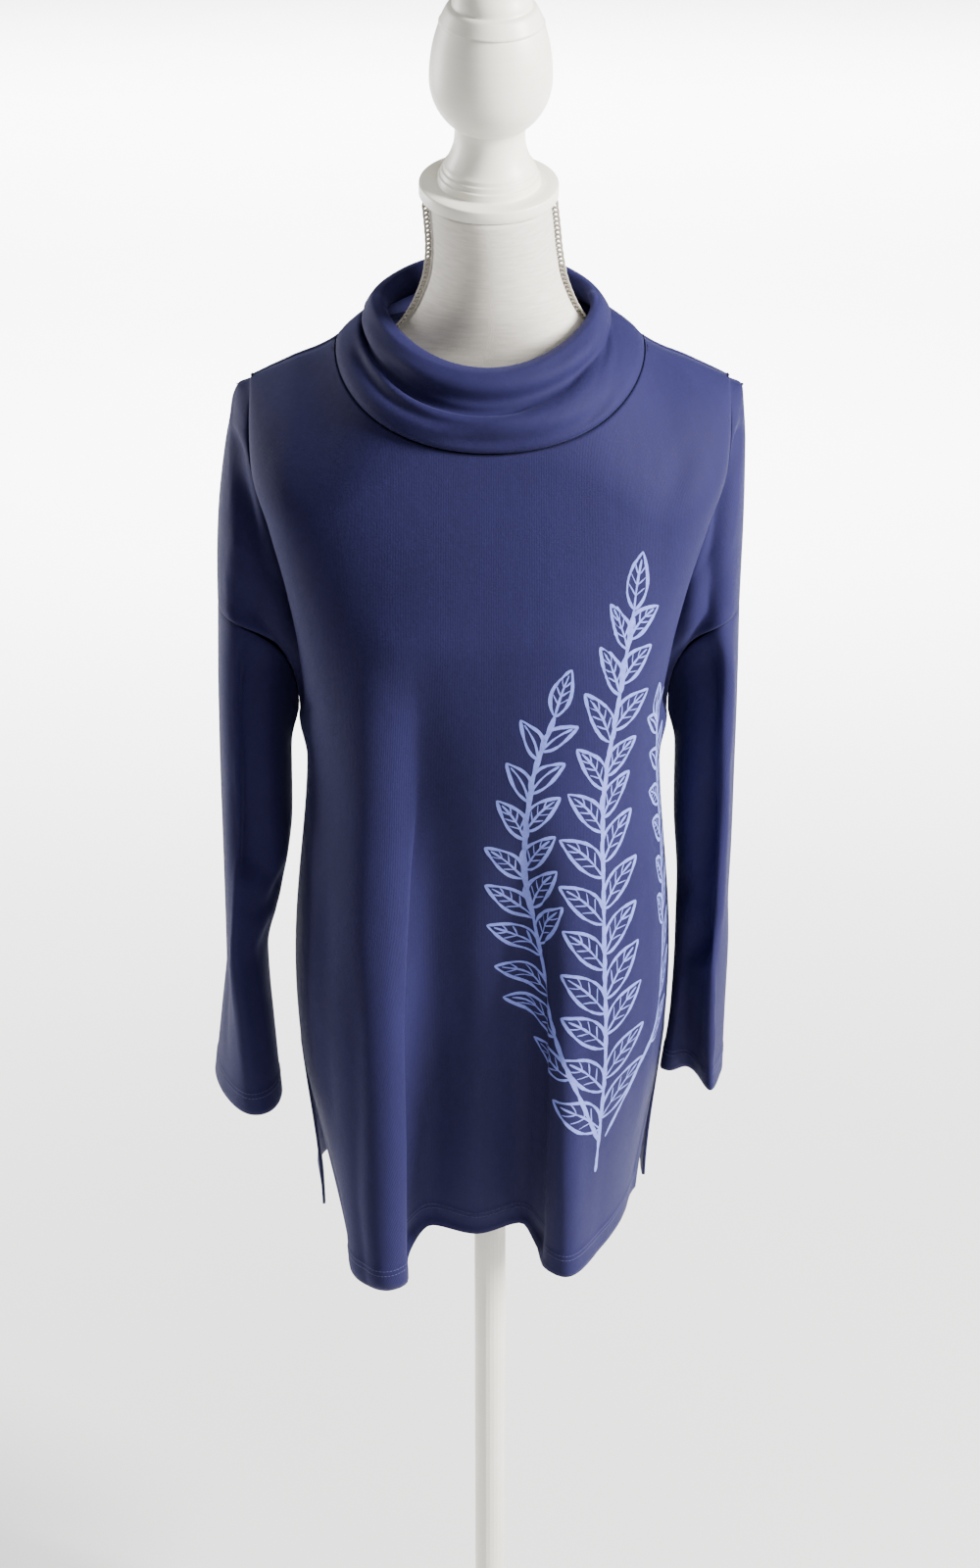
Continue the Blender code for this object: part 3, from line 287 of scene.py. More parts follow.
# ---- creases ----
# place: points as (angle or turn, height or share); width; depth, ridges above 0; sharp: how much
# narrower the side towards the viewer's right is; fade: length over which the ends die out
BODY_CREASES = {
    "front": (
        ("under the bust", ((-38, 0.586), (-18, 0.579), (0, 0.578), (16, 0.581), (34, 0.590)),
         0.018, 0.0022, 1.0, 0.05),
        ("left flank hollow", ((-52, 0.400), (-54, 0.250), (-56, 0.100)), 0.014, -0.0026, 1.0, 0.09),
        ("left flank, upper", ((-76, 0.440), (-66, 0.400), (-58, 0.340)), 0.012, 0.0018, 1.0, 0.06),
        ("middle, soft", ((-8, 0.460), (-6, 0.300), (-5, 0.160)), 0.018, -0.0030, 1.0, 0.09),
        ("right band", ((14, 0.460), (16, 0.300), (18, 0.150), (20, 0.0)), 0.012, 0.0034, 1.3, 0.09),
        ("right of it", ((28, 0.400), (28, 0.250), (29, 0.080)), 0.010, -0.0018, 1.0, 0.09),
        ("right slope, upper", ((44, 0.500), (42, 0.360), (40, 0.240)), 0.014, -0.0030, 1.0, 0.10),
        ("right flank ridge", ((60, 0.470), (61, 0.330), (60, 0.200), (58, 0.080)),
         0.012, 0.0026, 1.0, 0.10),
        ("from the right shoulder", ((62, 0.722), (54, 0.690), (46, 0.650)), 0.013, 0.0018, 1.0, 0.06),
        ("beside it", ((54, 0.730), (45, 0.700), (38, 0.665)), 0.010, -0.0014, 1.0, 0.05),
        ("from the collar, right", ((38, 0.700), (46, 0.650), (56, 0.590)), 0.014, -0.0012, 1.0, 0.06),
        ("from the left shoulder", ((-64, 0.722), (-57, 0.690), (-50, 0.640)), 0.014, 0.0014, 1.0, 0.06),
        ("underarm pull, left", ((-84, 0.492), (-66, 0.512), (-48, 0.520)), 0.009, -0.0020, 1.0, 0.05),
        ("underarm pull, right", ((84, 0.490), (68, 0.512), (54, 0.528)), 0.009, -0.0022, 1.0, 0.05),
    ),
    "back": (
        ("between the shoulders", ((-20, 0.690), (0, 0.672), (22, 0.694)), 0.022, -0.0022, 1.0, 0.08),
        ("left blade", ((-62, 0.700), (-52, 0.620), (-44, 0.520)), 0.018, 0.0026, 1.0, 0.09),
        ("right blade", ((60, 0.706), (50, 0.610), (45, 0.540)), 0.016, 0.0022, 1.0, 0.09),
        ("small of the back, upper", ((-38, 0.452), (-12, 0.438), (14, 0.446), (34, 0.462)),
         0.011, -0.0030, 1.0, 0.08),
        ("small of the back, lower", ((-22, 0.404), (4, 0.396), (24, 0.408)), 0.010, -0.0022, 1.0, 0.07),
        ("left fold", ((-36, 0.430), (-38, 0.300), (-41, 0.0)), 0.013, 0.0028, 0.8, 0.10),
        ("middle fold", ((-10, 0.400), (-12, 0.250), (-14, 0.0)), 0.013, 0.0026, 1.0, 0.10),
        ("right fold", ((14, 0.420), (12, 0.260), (10, 0.0)), 0.012, 0.0028, 1.2, 0.10),
        ("outer fold", ((40, 0.410), (42, 0.240), (43, 0.0)), 0.013, 0.0024, 1.0, 0.10),
        ("underarm pull, left", ((-84, 0.492), (-66, 0.508), (-50, 0.514)), 0.009, -0.0020, 1.0, 0.05),
        ("underarm pull, right", ((84, 0.491), (70, 0.510), (52, 0.518)), 0.009, -0.0018, 1.0, 0.05),
    ),
}
# folds laid out on the flat panel, as (u, v) from its middle and its hem: reach on the left and right of
# the line, depth, softness above and below, fade at the upper end
FLAT_FOLDS = {
    "front": (
        ("left ridge", ((-0.092, 0.620), (-0.100, 0.420), (-0.108, 0.300), (-0.122, 0.180), (-0.146, 0.060),
         (-0.154, 0.0)), 0.024, 0.020, 0.0074, 0.016, 0.009, 0.13),
        ("beside the left band", ((-0.052, 0.600), (-0.058, 0.430), (-0.060, 0.354), (-0.067, 0.242),
         (-0.073, 0.138), (-0.089, 0.050), (-0.101, 0.0)), 0.017, 0.050, -0.0150, 0.012, 0.0018, 0.15),
        ("left of the band", ((-0.108, 0.330), (-0.118, 0.270), (-0.138, 0.160), (-0.158, 0.080),
         (-0.168, 0.0)), 0.010, 0.012, -0.0030, 0.008, 0.0020, 0.10),
        ("right of the valley", ((0.040, 0.450), (0.044, 0.330), (0.045, 0.242), (0.052, 0.120),
         (0.058, 0.038), (0.060, 0.0)), 0.034, 0.013, -0.0085, 0.016, 0.0036, 0.12),
    ),
    "back": (
        ("left of the middle", ((-0.090, 0.420), (-0.092, 0.240), (-0.100, 0.100), (-0.104, 0.0)),
         0.020, 0.014, -0.0048, 0.014, 0.0030, 0.12),
        ("right of the middle", ((0.078, 0.430), (0.080, 0.260), (0.088, 0.120), (0.092, 0.0)),
         0.014, 0.022, -0.0042, 0.014, 0.0030, 0.12),
    ),
}
# the dropped shoulder: points as (across, share), outwards and downwards
SHOULDER_CREASES = {
    ("front", -1): (
        ("front ridge", ((0.80, 0.02), (0.74, 0.30), (0.66, 0.62), (0.60, 1.00)),
         0.0045, 0.0016, 0.7, 0.03),
        ("inside it", ((0.60, 0.15), (0.52, 0.40), (0.46, 0.66), (0.44, 1.00)), 0.018, -0.0115, 1.0, 0.03),
    ),
    ("front", 1): (
        ("front ridge", ((0.72, 0.05), (0.66, 0.40), (0.62, 0.70), (0.60, 1.00)), 0.006, 0.0014, 1.2, 0.03),
        ("inside it", ((0.62, 0.12), (0.52, 0.35), (0.46, 0.66), (0.44, 1.00)), 0.014, -0.0120, 1.0, 0.03),
    ),
    ("back", -1): (
        ("back ridge", ((0.70, 0.10), (0.62, 0.50), (0.55, 1.00)), 0.008, 0.0014, 1.0, 0.05),
    ),
    ("back", 1): (
        ("back ridge", ((0.66, 0.12), (0.60, 0.50), (0.52, 1.00)), 0.008, 0.0014, 1.0, 0.05),
    ),
}
# sleeves: points as (turn, share): turn 0 at the inner point, 90 in front, 180 outside, 270 behind
SLEEVE_CREASES = {
    -1: (
        ("front ridge", ((106, 0.00), (112, 0.20), (116, 0.42), (124, 0.60), (132, 0.80)),
         0.0050, 0.0026, 0.7, 0.04),
        ("inside the ridge", ((76, 0.00), (82, 0.26), (88, 0.44)), 0.0180, -0.0130, 1.0, 0.03),
        ("elbow, inner", ((10, 0.46), (44, 0.50), (74, 0.50), (98, 0.47)), 0.0080, -0.0046, 1.0, 0.03),
        ("above the elbow", ((14, 0.38), (46, 0.41), (70, 0.40)), 0.0090, 0.0022, 1.0, 0.03),
        ("elbow, second", ((12, 0.57), (44, 0.61), (72, 0.66)), 0.0080, -0.0032, 1.0, 0.04),
        ("upper, slanting", ((56, 0.14), (80, 0.22), (102, 0.34)), 0.0110, -0.0026, 1.0, 0.05),
        ("forearm, long", ((96, 0.66), (104, 0.80), (110, 0.98)), 0.0080, 0.0020, 1.0, 0.05),
        ("forearm, outer", ((150, 0.62), (158, 0.78), (154, 0.94)), 0.0100, -0.0020, 1.0, 0.05),
        ("behind the elbow", ((232, 0.46), (262, 0.52), (292, 0.50)), 0.0090, -0.0034, 1.0, 0.05),
        ("behind, long", ((248, 0.12), (254, 0.30), (250, 0.42)), 0.0120, 0.0024, 1.0, 0.06),
        ("outside, soft", ((170, 0.30), (186, 0.52), (178, 0.74)), 0.0110, -0.0018, 1.0, 0.07),
    ),
    1: (
        ("front ridge", ((118, 0.02), (124, 0.25), (126, 0.48), (122, 0.64)), 0.0070, 0.0030, 1.2, 0.05),
        ("inside the ridge", ((76, 0.00), (80, 0.22), (82, 0.44), (82, 0.70)), 0.0160, -0.0140, 1.0, 0.03),
        ("fold's edge", ((112, 0.62), (118, 0.80), (128, 0.99)), 0.0055, 0.0034, 0.6, 0.05),
        ("inside the fold", ((88, 0.60), (92, 0.78), (98, 0.98)), 0.0090, -0.0030, 1.0, 0.05),
        ("elbow, inner", ((20, 0.46), (60, 0.52), (96, 0.50)), 0.0085, -0.0040, 1.0, 0.03),
        ("upper, slanting", ((56, 0.16), (84, 0.26), (108, 0.38)), 0.0100, -0.0028, 1.0, 0.05),
        ("outer pull", ((150, 0.40), (164, 0.52), (158, 0.66)), 0.0100, -0.0022, 1.0, 0.05),
        ("behind the elbow", ((238, 0.48), (266, 0.54), (296, 0.51)), 0.0090, -0.0032, 1.0, 0.05),
        ("behind, long", ((244, 0.14), (250, 0.34), (246, 0.48)), 0.0120, 0.0022, 1.0, 0.06),
        ("outside, soft", ((174, 0.28), (188, 0.50), (180, 0.76)), 0.0110, -0.0018, 1.0, 0.07),
    ),
}
# collar: points as (turn, row), turn 0 at the centre front, +90 at the viewer's right
COLLAR_CREASES = (
    ("crease, left", ((-112, 4.1), (-80, 4.0), (-50, 3.9), (-20, 3.8), (6, 3.8), (22, 3.7)),
     0.0032, -0.0060, 1.0, 0.025),
    ("over it, left", ((-100, 5.0), (-66, 4.9), (-30, 4.8), (0, 4.7)), 0.0050, 0.0014, 1.0, 0.030),
    ("under it, left", ((-84, 2.7), (-54, 2.6), (-26, 2.6), (-4, 2.7)), 0.0060, -0.0044, 1.0, 0.030),
    ("crease fades, right", ((34, 3.7), (56, 3.8), (82, 4.0), (104, 4.1)), 0.0080, 0.0014, 1.0, 0.030),
    ("slanting, right", ((96, 4.6), (74, 3.9), (56, 3.0), (44, 2.2)), 0.0060, -0.0022, 1.0, 0.030),
    ("second slant, right", ((82, 3.2), (66, 2.4), (54, 1.7)), 0.0040, -0.0016, 1.0, 0.020),
    ("second roll, front", ((-8, 3.0), (18, 2.6), (38, 2.2)), 0.0060, 0.0020, 1.0, 0.030),
    ("below it", ((-20, 1.6), (8, 1.6), (34, 1.4), (56, 1.4)), 0.0060, -0.0030, 1.0, 0.030),
    ("crease, back", ((128, 4.1), (158, 4.0), (190, 4.0), (226, 4.1)), 0.0045, -0.0026, 1.0, 0.040),
    ("band's edge, front", ((-82, 5.8), (-40, 5.7), (0, 5.7), (44, 5.7), (72, 5.9)),
     0.0060, 0.0030, 1.0, 0.030),
    ("under the edge", ((-60, 4.5), (-20, 4.5), (24, 4.4), (60, 4.5)), 0.0060, -0.0022, 1.0, 0.030),
    ("band, left dent", ((-66, 5.8), (-46, 5.4), (-30, 5.6)), 0.0070, -0.0012, 1.0, 0.030),
    ("band, right swell", ((30, 5.2), (58, 5.4), (84, 5.6)), 0.0080, 0.0012, 1.0, 0.030),
)

# print: name, points of the stem as flat (u, v) places on the front, first pair, pitch, leaf, bare side
PRINT_STEMS = (
    ("middle", ((0.128, 0.096), (0.114, 0.200), (0.098, 0.320),
     (0.092, 0.440), (0.104, 0.540), (0.118, 0.612)), 0.046, 0.0400, 0.066, 0),
    ("left", ((0.122, 0.130), (0.078, 0.205), (0.042, 0.290),
     (0.026, 0.385), (0.032, 0.465), (0.050, 0.525)), 0.082, 0.0370, 0.058, 1),
    ("right", ((0.132, 0.130), (0.164, 0.200), (0.184, 0.285),
     (0.188, 0.375), (0.176, 0.450), (0.162, 0.510)), 0.082, 0.0370, 0.054, -1),
)
LEAF_SHAPE = 0.40        # a leaf's width for each unit of its length
LEAF_BEND = 0.003
LEAF_TAPER = 0.42        # how much smaller the leaves grow up a stem
LEAF_UNEVEN = (0.92, 0.16)
LEAF_LEAN = (48, 12, 8)  # degrees from the stem: at its foot, less at its top, and by chance
VEIN_STARTS = (0.24, 0.42, 0.60)
VEINED_LEAF = 0.038      # smaller leaves have no veins
PRINT_STEP = 0.0024
PRINT_LIFT = 0.00018
PRINT_STEM = 0.0036      # widths of the printed lines
PRINT_EDGE = 0.0026
PRINT_RIB = 0.0018
PRINT_VEIN = 0.0012


# ---- reading the tables ----
def column(rows, names, name):
    return np.array([row[names.index(name)] for row in rows], float)


def smooth(at, values, where):
    """A curve through the values that keeps their rises and falls, and never overshoots."""
    at = np.asarray(at, float)
    values = np.asarray(values, float)
    where = np.clip(np.asarray(where, float), at[0], at[-1])
    step = np.diff(at)
    slope = np.diff(values) / step
    tangent = np.zeros(len(at))
    for k in range(1, len(at) - 1):
        if slope[k - 1] * slope[k] > 0:
            near = 2 * step[k] + step[k - 1]
            far = step[k] + 2 * step[k - 1]
            tangent[k] = (near + far) / (near / slope[k - 1] + far / slope[k])
    tangent[0] = slope[0]
    tangent[-1] = slope[-1]
    k = np.clip(np.searchsorted(at, where, side="right") - 1, 0, len(step) - 1)
    t = (where - at[k]) / step[k]
    return (
        values[k] * (1 + 2 * t) * (1 - t) ** 2 + values[k + 1] * t * t * (3 - 2 * t)
        + step[k] * (tangent[k] * t * (1 - t) ** 2 + tangent[k + 1] * t * t * (t - 1))
    )


def from_table(rows, columns, name, height):
    return smooth(column(rows, columns, "height"), column(rows, columns, name), height)


def chest(name, height):
    return from_table(CHEST_ROWS, CHEST_COLUMNS, name, height)


def outer(name, height):
    return from_table(OUTER_ROWS, OUTER_COLUMNS, name, height)


def fold(face, name, angle):
    rows = FOLDS[face]
    return smooth(column(rows, FOLD_COLUMNS, "angle"), column(rows, FOLD_COLUMNS, name), angle)


def ease(t):
    t = np.clip(t, 0.0, 1.0)
    return t * t * (3 - 2 * t)


def side_name(side):
    return "left" if side < 0 else "right"


def face_sign(face):
    return -1.0 if face == "front" else 1.0


# ---- the cloth's surface ----
def shoulder_height(x):
    """Shoulder line, carried on over the neck and eased from one to the other at its corner."""
    x = np.abs(x)
    inside = NECK_SIDE_H + NECK_RISE * (1 - (x / NECK_HALF_WIDTH) ** 2)
    line = NECK_SIDE_H - SHOULDER_SLOPE * (x - NECK_HALF_WIDTH)
    turned = ease((x - CORNER_EASE[0]) / (CORNER_EASE[1] - CORNER_EASE[0]))
    return inside + (line - inside) * turned


def neckline_height(face, x):
    middle = NECK_FRONT_H if face == "front" else NECK_BACK_H
    inside = np.maximum(0.0, 1 - (x / NECK_HALF_WIDTH) ** 2)
    return NECK_SIDE_H + (middle - NECK_SIDE_H) * inside ** NECK_CURVE


def flare(side, height):
    reach = UNDERARM_X[side] - float(chest(side_name(side), UNDERARM_H))
    return reach * np.exp(-((height - UNDERARM_H) / ARCH_H) ** 2)


def round_shoulder(x, y, height):
    t = np.clip((shoulder_height(x) - height) / SHOULDER_ROUND, 0.0, 1.0)
    return SHOULDER_Y + (y - SHOULDER_Y) * np.sqrt(1 - (1 - t) ** 2)


def section(face, angle, height):
    left = angle < 0
    turn = np.radians(np.abs(angle))
    half = np.where(left, chest("left", height), chest("right", height))
    reach = np.where(left, flare(-1, height), flare(1, height))
    middle = chest(face, height)
    edge = chest("fold_" + face, height)
    x = half * np.sin(turn) ** SECTION_X_POWER + reach * np.sin(turn) ** FLARE_POWER
    y = edge + (middle - edge) * np.maximum(0.0, np.cos(turn)) ** SECTION_Y_POWER
    return np.where(left, -x, x), face_sign(face) * y


def upper_points(face, angle, share):
    """Body above the underarm's level, for columns of angles and rows of shares."""
    x_top = np.copysign(FOLD_TOP_X * np.sin(np.radians(np.abs(angle))) ** SECTION_X_POWER, angle)
    h_top = np.where(np.abs(x_top) >= NECK_HALF_WIDTH, shoulder_height(x_top), neckline_height(face, x_top))
    height = h_top - (h_top - UNDERARM_H) * share
    x, y = section(face, angle + 0 * share, height)
    x = x_top + (x - x_top) * ease((h_top - height) / 0.10)
    return np.stack([x, round_shoulder(x, y, height), height], -1)


def vent_swing(face, angle, height):
    drop = np.maximum(0.0, (VENT_TOP_H - height) / VENT_TOP_H) ** VENT_POWER
    total = 0.0
    for side in (-1, 1):
        near = ease(1 - (90.0 - side * angle) / VENT_REACH)
        total = total + np.array(VENT_SWING[(face, side)]) * (near * drop)[..., None]
    return total


def lower_points(face, angle, fall):
    level = np.full(np.broadcast(angle, fall).shape, UNDERARM_H)
    chest_x, chest_y = section(face, angle + 0 * level, level)
    depth = fall ** FALL_POWER
    bow = np.sin(math.pi * fall) ** 2
    share = np.abs(np.sin(np.radians(angle))) ** FLARE_POWER
    height = UNDERARM_H * (1 - fall)
    left_grown, right_grown = (flare(side, height) - flare(side, UNDERARM_H) for side in (-1, 1))
    x = chest_x + (fold(face, "x", angle) - chest_x) * depth + fold(face, "bow_x", angle) * bow
    x = x + share * np.where(angle < 0, -left_grown, right_grown)
    y = chest_y + (fold(face, "y", angle) - chest_y) * depth + fold(face, "bow_y", angle) * bow
    risen = height + fold(face, "rise", angle) * fall ** 2
    return np.stack([x, y, risen + 0 * x], -1) + vent_swing(face, angle + 0 * x, height + 0 * x)


def extension_points(face, side, across, share):
    fold_top = float(shoulder_height(FOLD_TOP_X))
    fold_h = fold_top - (fold_top - UNDERARM_H) * share
    outer_h = TIP_H - (TIP_H - ARMHOLE_TOP_H) * share
    height = fold_h + (outer_h - fold_h) * (1 - (1 - across) ** 3)
    inner_x = chest(side_name(side), fold_h) + flare(side, fold_h)
    inner_x = FOLD_TOP_X + (inner_x - FOLD_TOP_X) * ease((fold_top - fold_h) / 0.10)
    outer_x = outer(side_name(side), outer_h)
    along = (1 - np.cos(math.pi * across)) / 2
    x = side * (inner_x + (outer_x - inner_x) * along)
    edge = face_sign(face) * chest("fold_" + face, fold_h)
    swell = outer("swell", outer_h) * np.sin(math.pi * across ** 1.4)
    y = edge + (SHOULDER_Y - edge) * along + face_sign(face) * swell
    top_x = FOLD_TOP_X + (outer(side_name(side), TIP_H) - FOLD_TOP_X) * along
    top_h = fold_top + (TIP_H - fold_top) * (1 - (1 - across) ** 3)
    below_line = shoulder_height(top_x) - top_h
    return np.stack([x, round_shoulder(x, y, height + below_line), height + 0 * x], -1)


def neckline_point(turn):
    across = math.sin(math.radians(turn)) * NECK_HALF_WIDTH
    face = "front" if math.cos(math.radians(turn)) > 0 else "back"
    height = float(neckline_height(face, across))
    angle = math.degrees(math.asin(min(1.0, abs(across) / FOLD_TOP_X) ** (1 / SECTION_X_POWER)))
    y = section(face, np.array(math.copysign(angle, across)), np.array(height))[1]
    return np.array((across, float(round_shoulder(across, y, height)), height))


def armhole_base(side, face, across, along):
    first = dict(zip(SLEEVE_COLUMNS, SLEEVES[side][0]))
    x = side * (first["inner_x"] + (first["outer_x"] - first["inner_x"]) * along)
    y = first["y"] + face_sign(face) * first[face] * np.sin(np.radians(180.0 * across ** 1.15))
    return np.stack([x, y, first["inner_h"] + (first["outer_h"] - first["inner_h"]) * along], -1)


def sleeve_points(side, turns, shares):
    """Sleeve grid: a row for each share, a column for each turn from the inner point round the front."""
    rows = SLEEVES[side]
    stations = np.linspace(0, 1, len(rows))
    value = {
        name: smooth(stations, column(rows, SLEEVE_COLUMNS, name), shares)[:, None]
        for name in SLEEVE_COLUMNS[1:]
    }
    grid = np.zeros((len(shares), len(turns), 3))
    for face, chosen in (("front", turns < 180), ("back", turns >= 180)):
        across = np.where(turns[chosen] < 180, turns[chosen] / 180, 2 - turns[chosen] / 180)[None, :]
        along = (1 - np.cos(math.pi * across)) / 2
        x = side * (value["inner_x"] + (value["outer_x"] - value["inner_x"]) * along)
        depth = value[face] * np.sin(np.radians(180.0 * across ** 1.15))
        if face == "front":
            inside = 180.0 * across - value["ridge_at"]
            depth = depth + value["ridge"] * np.exp(-(inside / RIDGE_SPREAD) ** 2)
            depth = depth - value["hollow"] * np.exp(-((inside + HOLLOW_INSIDE) / RIDGE_SPREAD) ** 2)
        x = x + side * value["slant"] * face_sign(face) * depth
        y = value["y"] + face_sign(face) * depth
        height = value["inner_h"] + (value["outer_h"] - value["inner_h"]) * along
        seam = extension_points(face, side, across[0], np.ones(across.shape[1]))
        away = (seam - armhole_base(side, face, across[0], along[0]))[None] * (
            1 - ease(shares / ARMHOLE_BLEND))[:, None, None]
        grid[:, chosen] = np.stack([x, y, height + 0 * x], -1) + away
    return grid


# ---- meshes ----
def arc(points, axis):
    """Distance run along one direction of a grid, from its first row or column."""
    step = np.linalg.norm(np.diff(points, axis=axis), axis=-1)
    start = np.zeros_like(np.take(step, [0], axis=axis))
    return np.concatenate([start, np.cumsum(step, axis=axis)], axis=axis)


def spaced(length, step, near_start=False, near_end=False):
    """Distances from 0 to length, closer together beside a seam."""
    inner = list(NEAR_SEAM) if near_start else []
    outer_part = [length - d for d in NEAR_SEAM][::-1] if near_end else []
    low = inner[-1] if inner else 0.0
    high = outer_part[0] if outer_part else length
    count = max(2, int(round((high - low) / step)))
    middle = list(np.linspace(low, high, count + 1))
    before = [0.0] + inner[:-1] if inner else []
    after = outer_part[1:] + [length] if outer_part else []
    return np.array(before + middle + after)


def crease_field(u, v, line, width, depth, sharp, fade):
    """Soft ridge or trough along a line of (u, v) points: how far out each point of a grid goes."""
    line = np.asarray(line, float)
    fine = []
    for a, b in zip(line[:-1], line[1:]):
        fine += [a + (b - a) * t for t in np.linspace(0, 1, 6)[:-1]]
    fine = np.array(fine + [line[-1]])
    run = np.concatenate([[0], np.cumsum(np.linalg.norm(np.diff(fine, axis=0), axis=1))])
    best = np.full(u.shape, 9.0)
    aside = np.zeros(u.shape)
    place = np.zeros(u.shape)
    for k in range(len(fine) - 1):
        way = fine[k + 1] - fine[k]
        length = max(1e-9, float(np.hypot(*way)))
        way = way / length
        du, dv = u - fine[k][0], v - fine[k][1]
        t = np.clip(du * way[0] + dv * way[1], 0, length)
        gap_u, gap_v = du - way[0] * t, dv - way[1] * t
        gap = np.hypot(gap_u, gap_v)
        nearer = gap < best
        best = np.where(nearer, gap, best)
        aside = np.where(nearer, gap_u, aside)
        place = np.where(nearer, run[k] + t, place)
    spread = np.where(aside > 0, width * sharp, width)
    ends = ease(np.minimum(place, run[-1] - place) / fade) if fade > 0 else 1.0
    uneven = 0.82 + 0.18 * np.sin(place * 47.0 + line[0][0] * 60.0)
    return depth * np.exp(-(best / spread) ** 2) * (0.12 + 0.88 * ends) * uneven


def sharp_field(u, v, line, left, right, depth, soft_top, soft_bottom, fade):
    """A fold whose two slopes meet in a line, softer above and crisper below."""
    line = np.asarray(line, float)
    order = np.argsort(line[:, 1])
    middle = np.interp(v, line[order, 1], line[order, 0])
    low, high = line[order[0], 1], line[order[-1], 1]
    share = np.clip((v - low) / (high - low), 0, 1)
    soft = soft_bottom + (soft_top - soft_bottom) * share
    away = u - middle
    rounded = np.sqrt(away ** 2 + soft ** 2) - soft
    reach = np.where(away > 0, right, left)
    return depth * np.exp(-rounded / reach) * ease((high - v) / fade)


def put(name, data):
    """A new object, in the scene."""
    made = bpy.data.objects.new(name, data)
    bpy.context.scene.collection.objects.link(made)
    return made


def new_piece(name, verts, faces, finish, edges=()):
    mesh = bpy.data.meshes.new(name)
    mesh.from_pydata([tuple(p) for p in verts], edges, faces)
    mesh.shade_smooth()
    mesh.materials.append(finish)
    return put(name, mesh)


def apply_modifier(piece, name):
    bpy.context.view_layer.objects.active = piece
    piece.select_set(True)
    bpy.ops.object.modifier_apply(modifier=name)
    piece.select_set(False)


def loop_points(mesh):
    """The point that each corner of the faces belongs to."""
    loops = np.zeros(len(mesh.loops), np.int64)
    mesh.loops.foreach_get("vertex_index", loops)
    return loops


def add_flat_map(mesh, u, v):
    flat = mesh.uv_layers.new(name="flat")
    flat.data.foreach_set("uv", np.stack([u, v], -1).ravel())


def nearest(values, value):
    return int(np.argmin(np.abs(values - value)))


def crease_sum(creases, u, v, find):
    """All the creases of a piece; find gives the flat place of a point of their tables."""
    total = np.zeros(u.shape)
    for name, line, width, depth, sharp, fade in creases:
        total += crease_field(u, v, [find(*point) for point in line], width, depth, sharp, fade)
    return total


def grid_faces(index, flip):
    quads = []
    rows, columns = index.shape
    for r in range(rows - 1):
        for k in range(columns - 1):
            loop = (index[r, k], index[r + 1, k], index[r + 1, k + 1], index[r, k + 1])
            quads.append(loop[::-1] if flip else loop)
    return quads


def make_cloth(name, points, quads, u, v, push, groove_and_shade, double, finish, whole_round=None):
    """A thin closed shell: the form's surface, pushed out along its normals by the creases.

    whole_round is the length round a tube at each point, so that its map runs on over the start.
    """
    quads = [tuple(int(i) for i in quad) for quad in quads]
    piece = new_piece(name, [(x, y, h + HEM_Z) for x, y, h in points], quads, finish)
    mesh = piece.data
    mesh.update()
    count = len(mesh.vertices)
    place = np.zeros(count * 3)
    normal = np.zeros(count * 3)
    mesh.vertices.foreach_get("co", place)
    mesh.vertex_normals.foreach_get("vector", normal)
    out = np.asarray(push) - GROOVE * np.asarray(groove_and_shade)
    moved = place.reshape(-1, 3) + normal.reshape(-1, 3) * out[:, None]
    mesh.vertices.foreach_set("co", moved.ravel())
    loops = loop_points(mesh)
    u_loops = np.asarray(u)[loops]
    if whole_round is not None:
        corners = u_loops.reshape(-1, 4)
        length = np.asarray(whole_round)[loops].reshape(-1, 4)
        over_start = np.ptp(corners, axis=1)[:, None] > 0.5 * length
        u_loops = np.where(over_start & (corners < 0.5 * length), corners + length, corners).ravel()
    add_flat_map(mesh, u_loops, np.asarray(v)[loops])
    # the seam layer holds the seam grooves, where the knit's colour is darkened as painted shade
    for label, values in (("seam", groove_and_shade), ("turned", double)):
        made = mesh.attributes.new(label, "FLOAT", "POINT")
        made.data.foreach_set("value", np.asarray(values, float))
    mesh.update()
    group = piece.vertex_groups.new(name="thickness")
    weights = SINGLE + (1 - SINGLE) * np.asarray(double)
    for value in np.unique(np.round(weights, 2)):
        chosen = np.nonzero(np.abs(weights - value) <= 0.005)[0]
        group.add([int(i) for i in chosen], float(value), "REPLACE")
    wall = piece.modifiers.new("cloth", "SOLIDIFY")
    wall.thickness = CLOTH
    wall.offset = -1.0
    wall.use_even_offset = False
    wall.use_quality_normals = True
    wall.vertex_group = "thickness"
    apply_modifier(piece, "cloth")
    return piece, moved


def soften_join(body, join, angles):
    """Round off the ledge that a panel's upper and lower parts make at the underarm's level."""
    run = arc(body[:, len(angles) // 2], 0)
    first = int(np.searchsorted(run, run[join] - JOIN_REACH))
    last = int(np.searchsorted(run, run[join] + JOIN_REACH))
    length = arc(body[first:last + 1], 0)
    t = (length / length[-1])[..., None]
    reach = np.linalg.norm(body[last] - body[first], axis=-1)[:, None]
    way_in = body[first] - body[first - 1]
    way_in = way_in / np.linalg.norm(way_in, axis=-1)[:, None] * reach
    way_out = body[last + 1] - body[last]
    way_out = way_out / np.linalg.norm(way_out, axis=-1)[:, None] * reach
    curve = (
        body[first] * (1 + 2 * t) * (1 - t) ** 2 + body[last] * t * t * (3 - 2 * t)
        + way_in * t * (1 - t) ** 2 + way_out * t * t * (t - 1)
    )
    weight = ease((90.0 - np.abs(angles)) / JOIN_FADE)[None, :, None]
    body[first:last + 1] += (curve - body[first:last + 1]) * weight
    return body


def near_edge(distance, width=GROOVE_WIDTH):
    return np.exp(-(distance / width) ** 2)


def band(distance, width, soft=0.0015):
    return 1 - ease((distance - width) / soft)


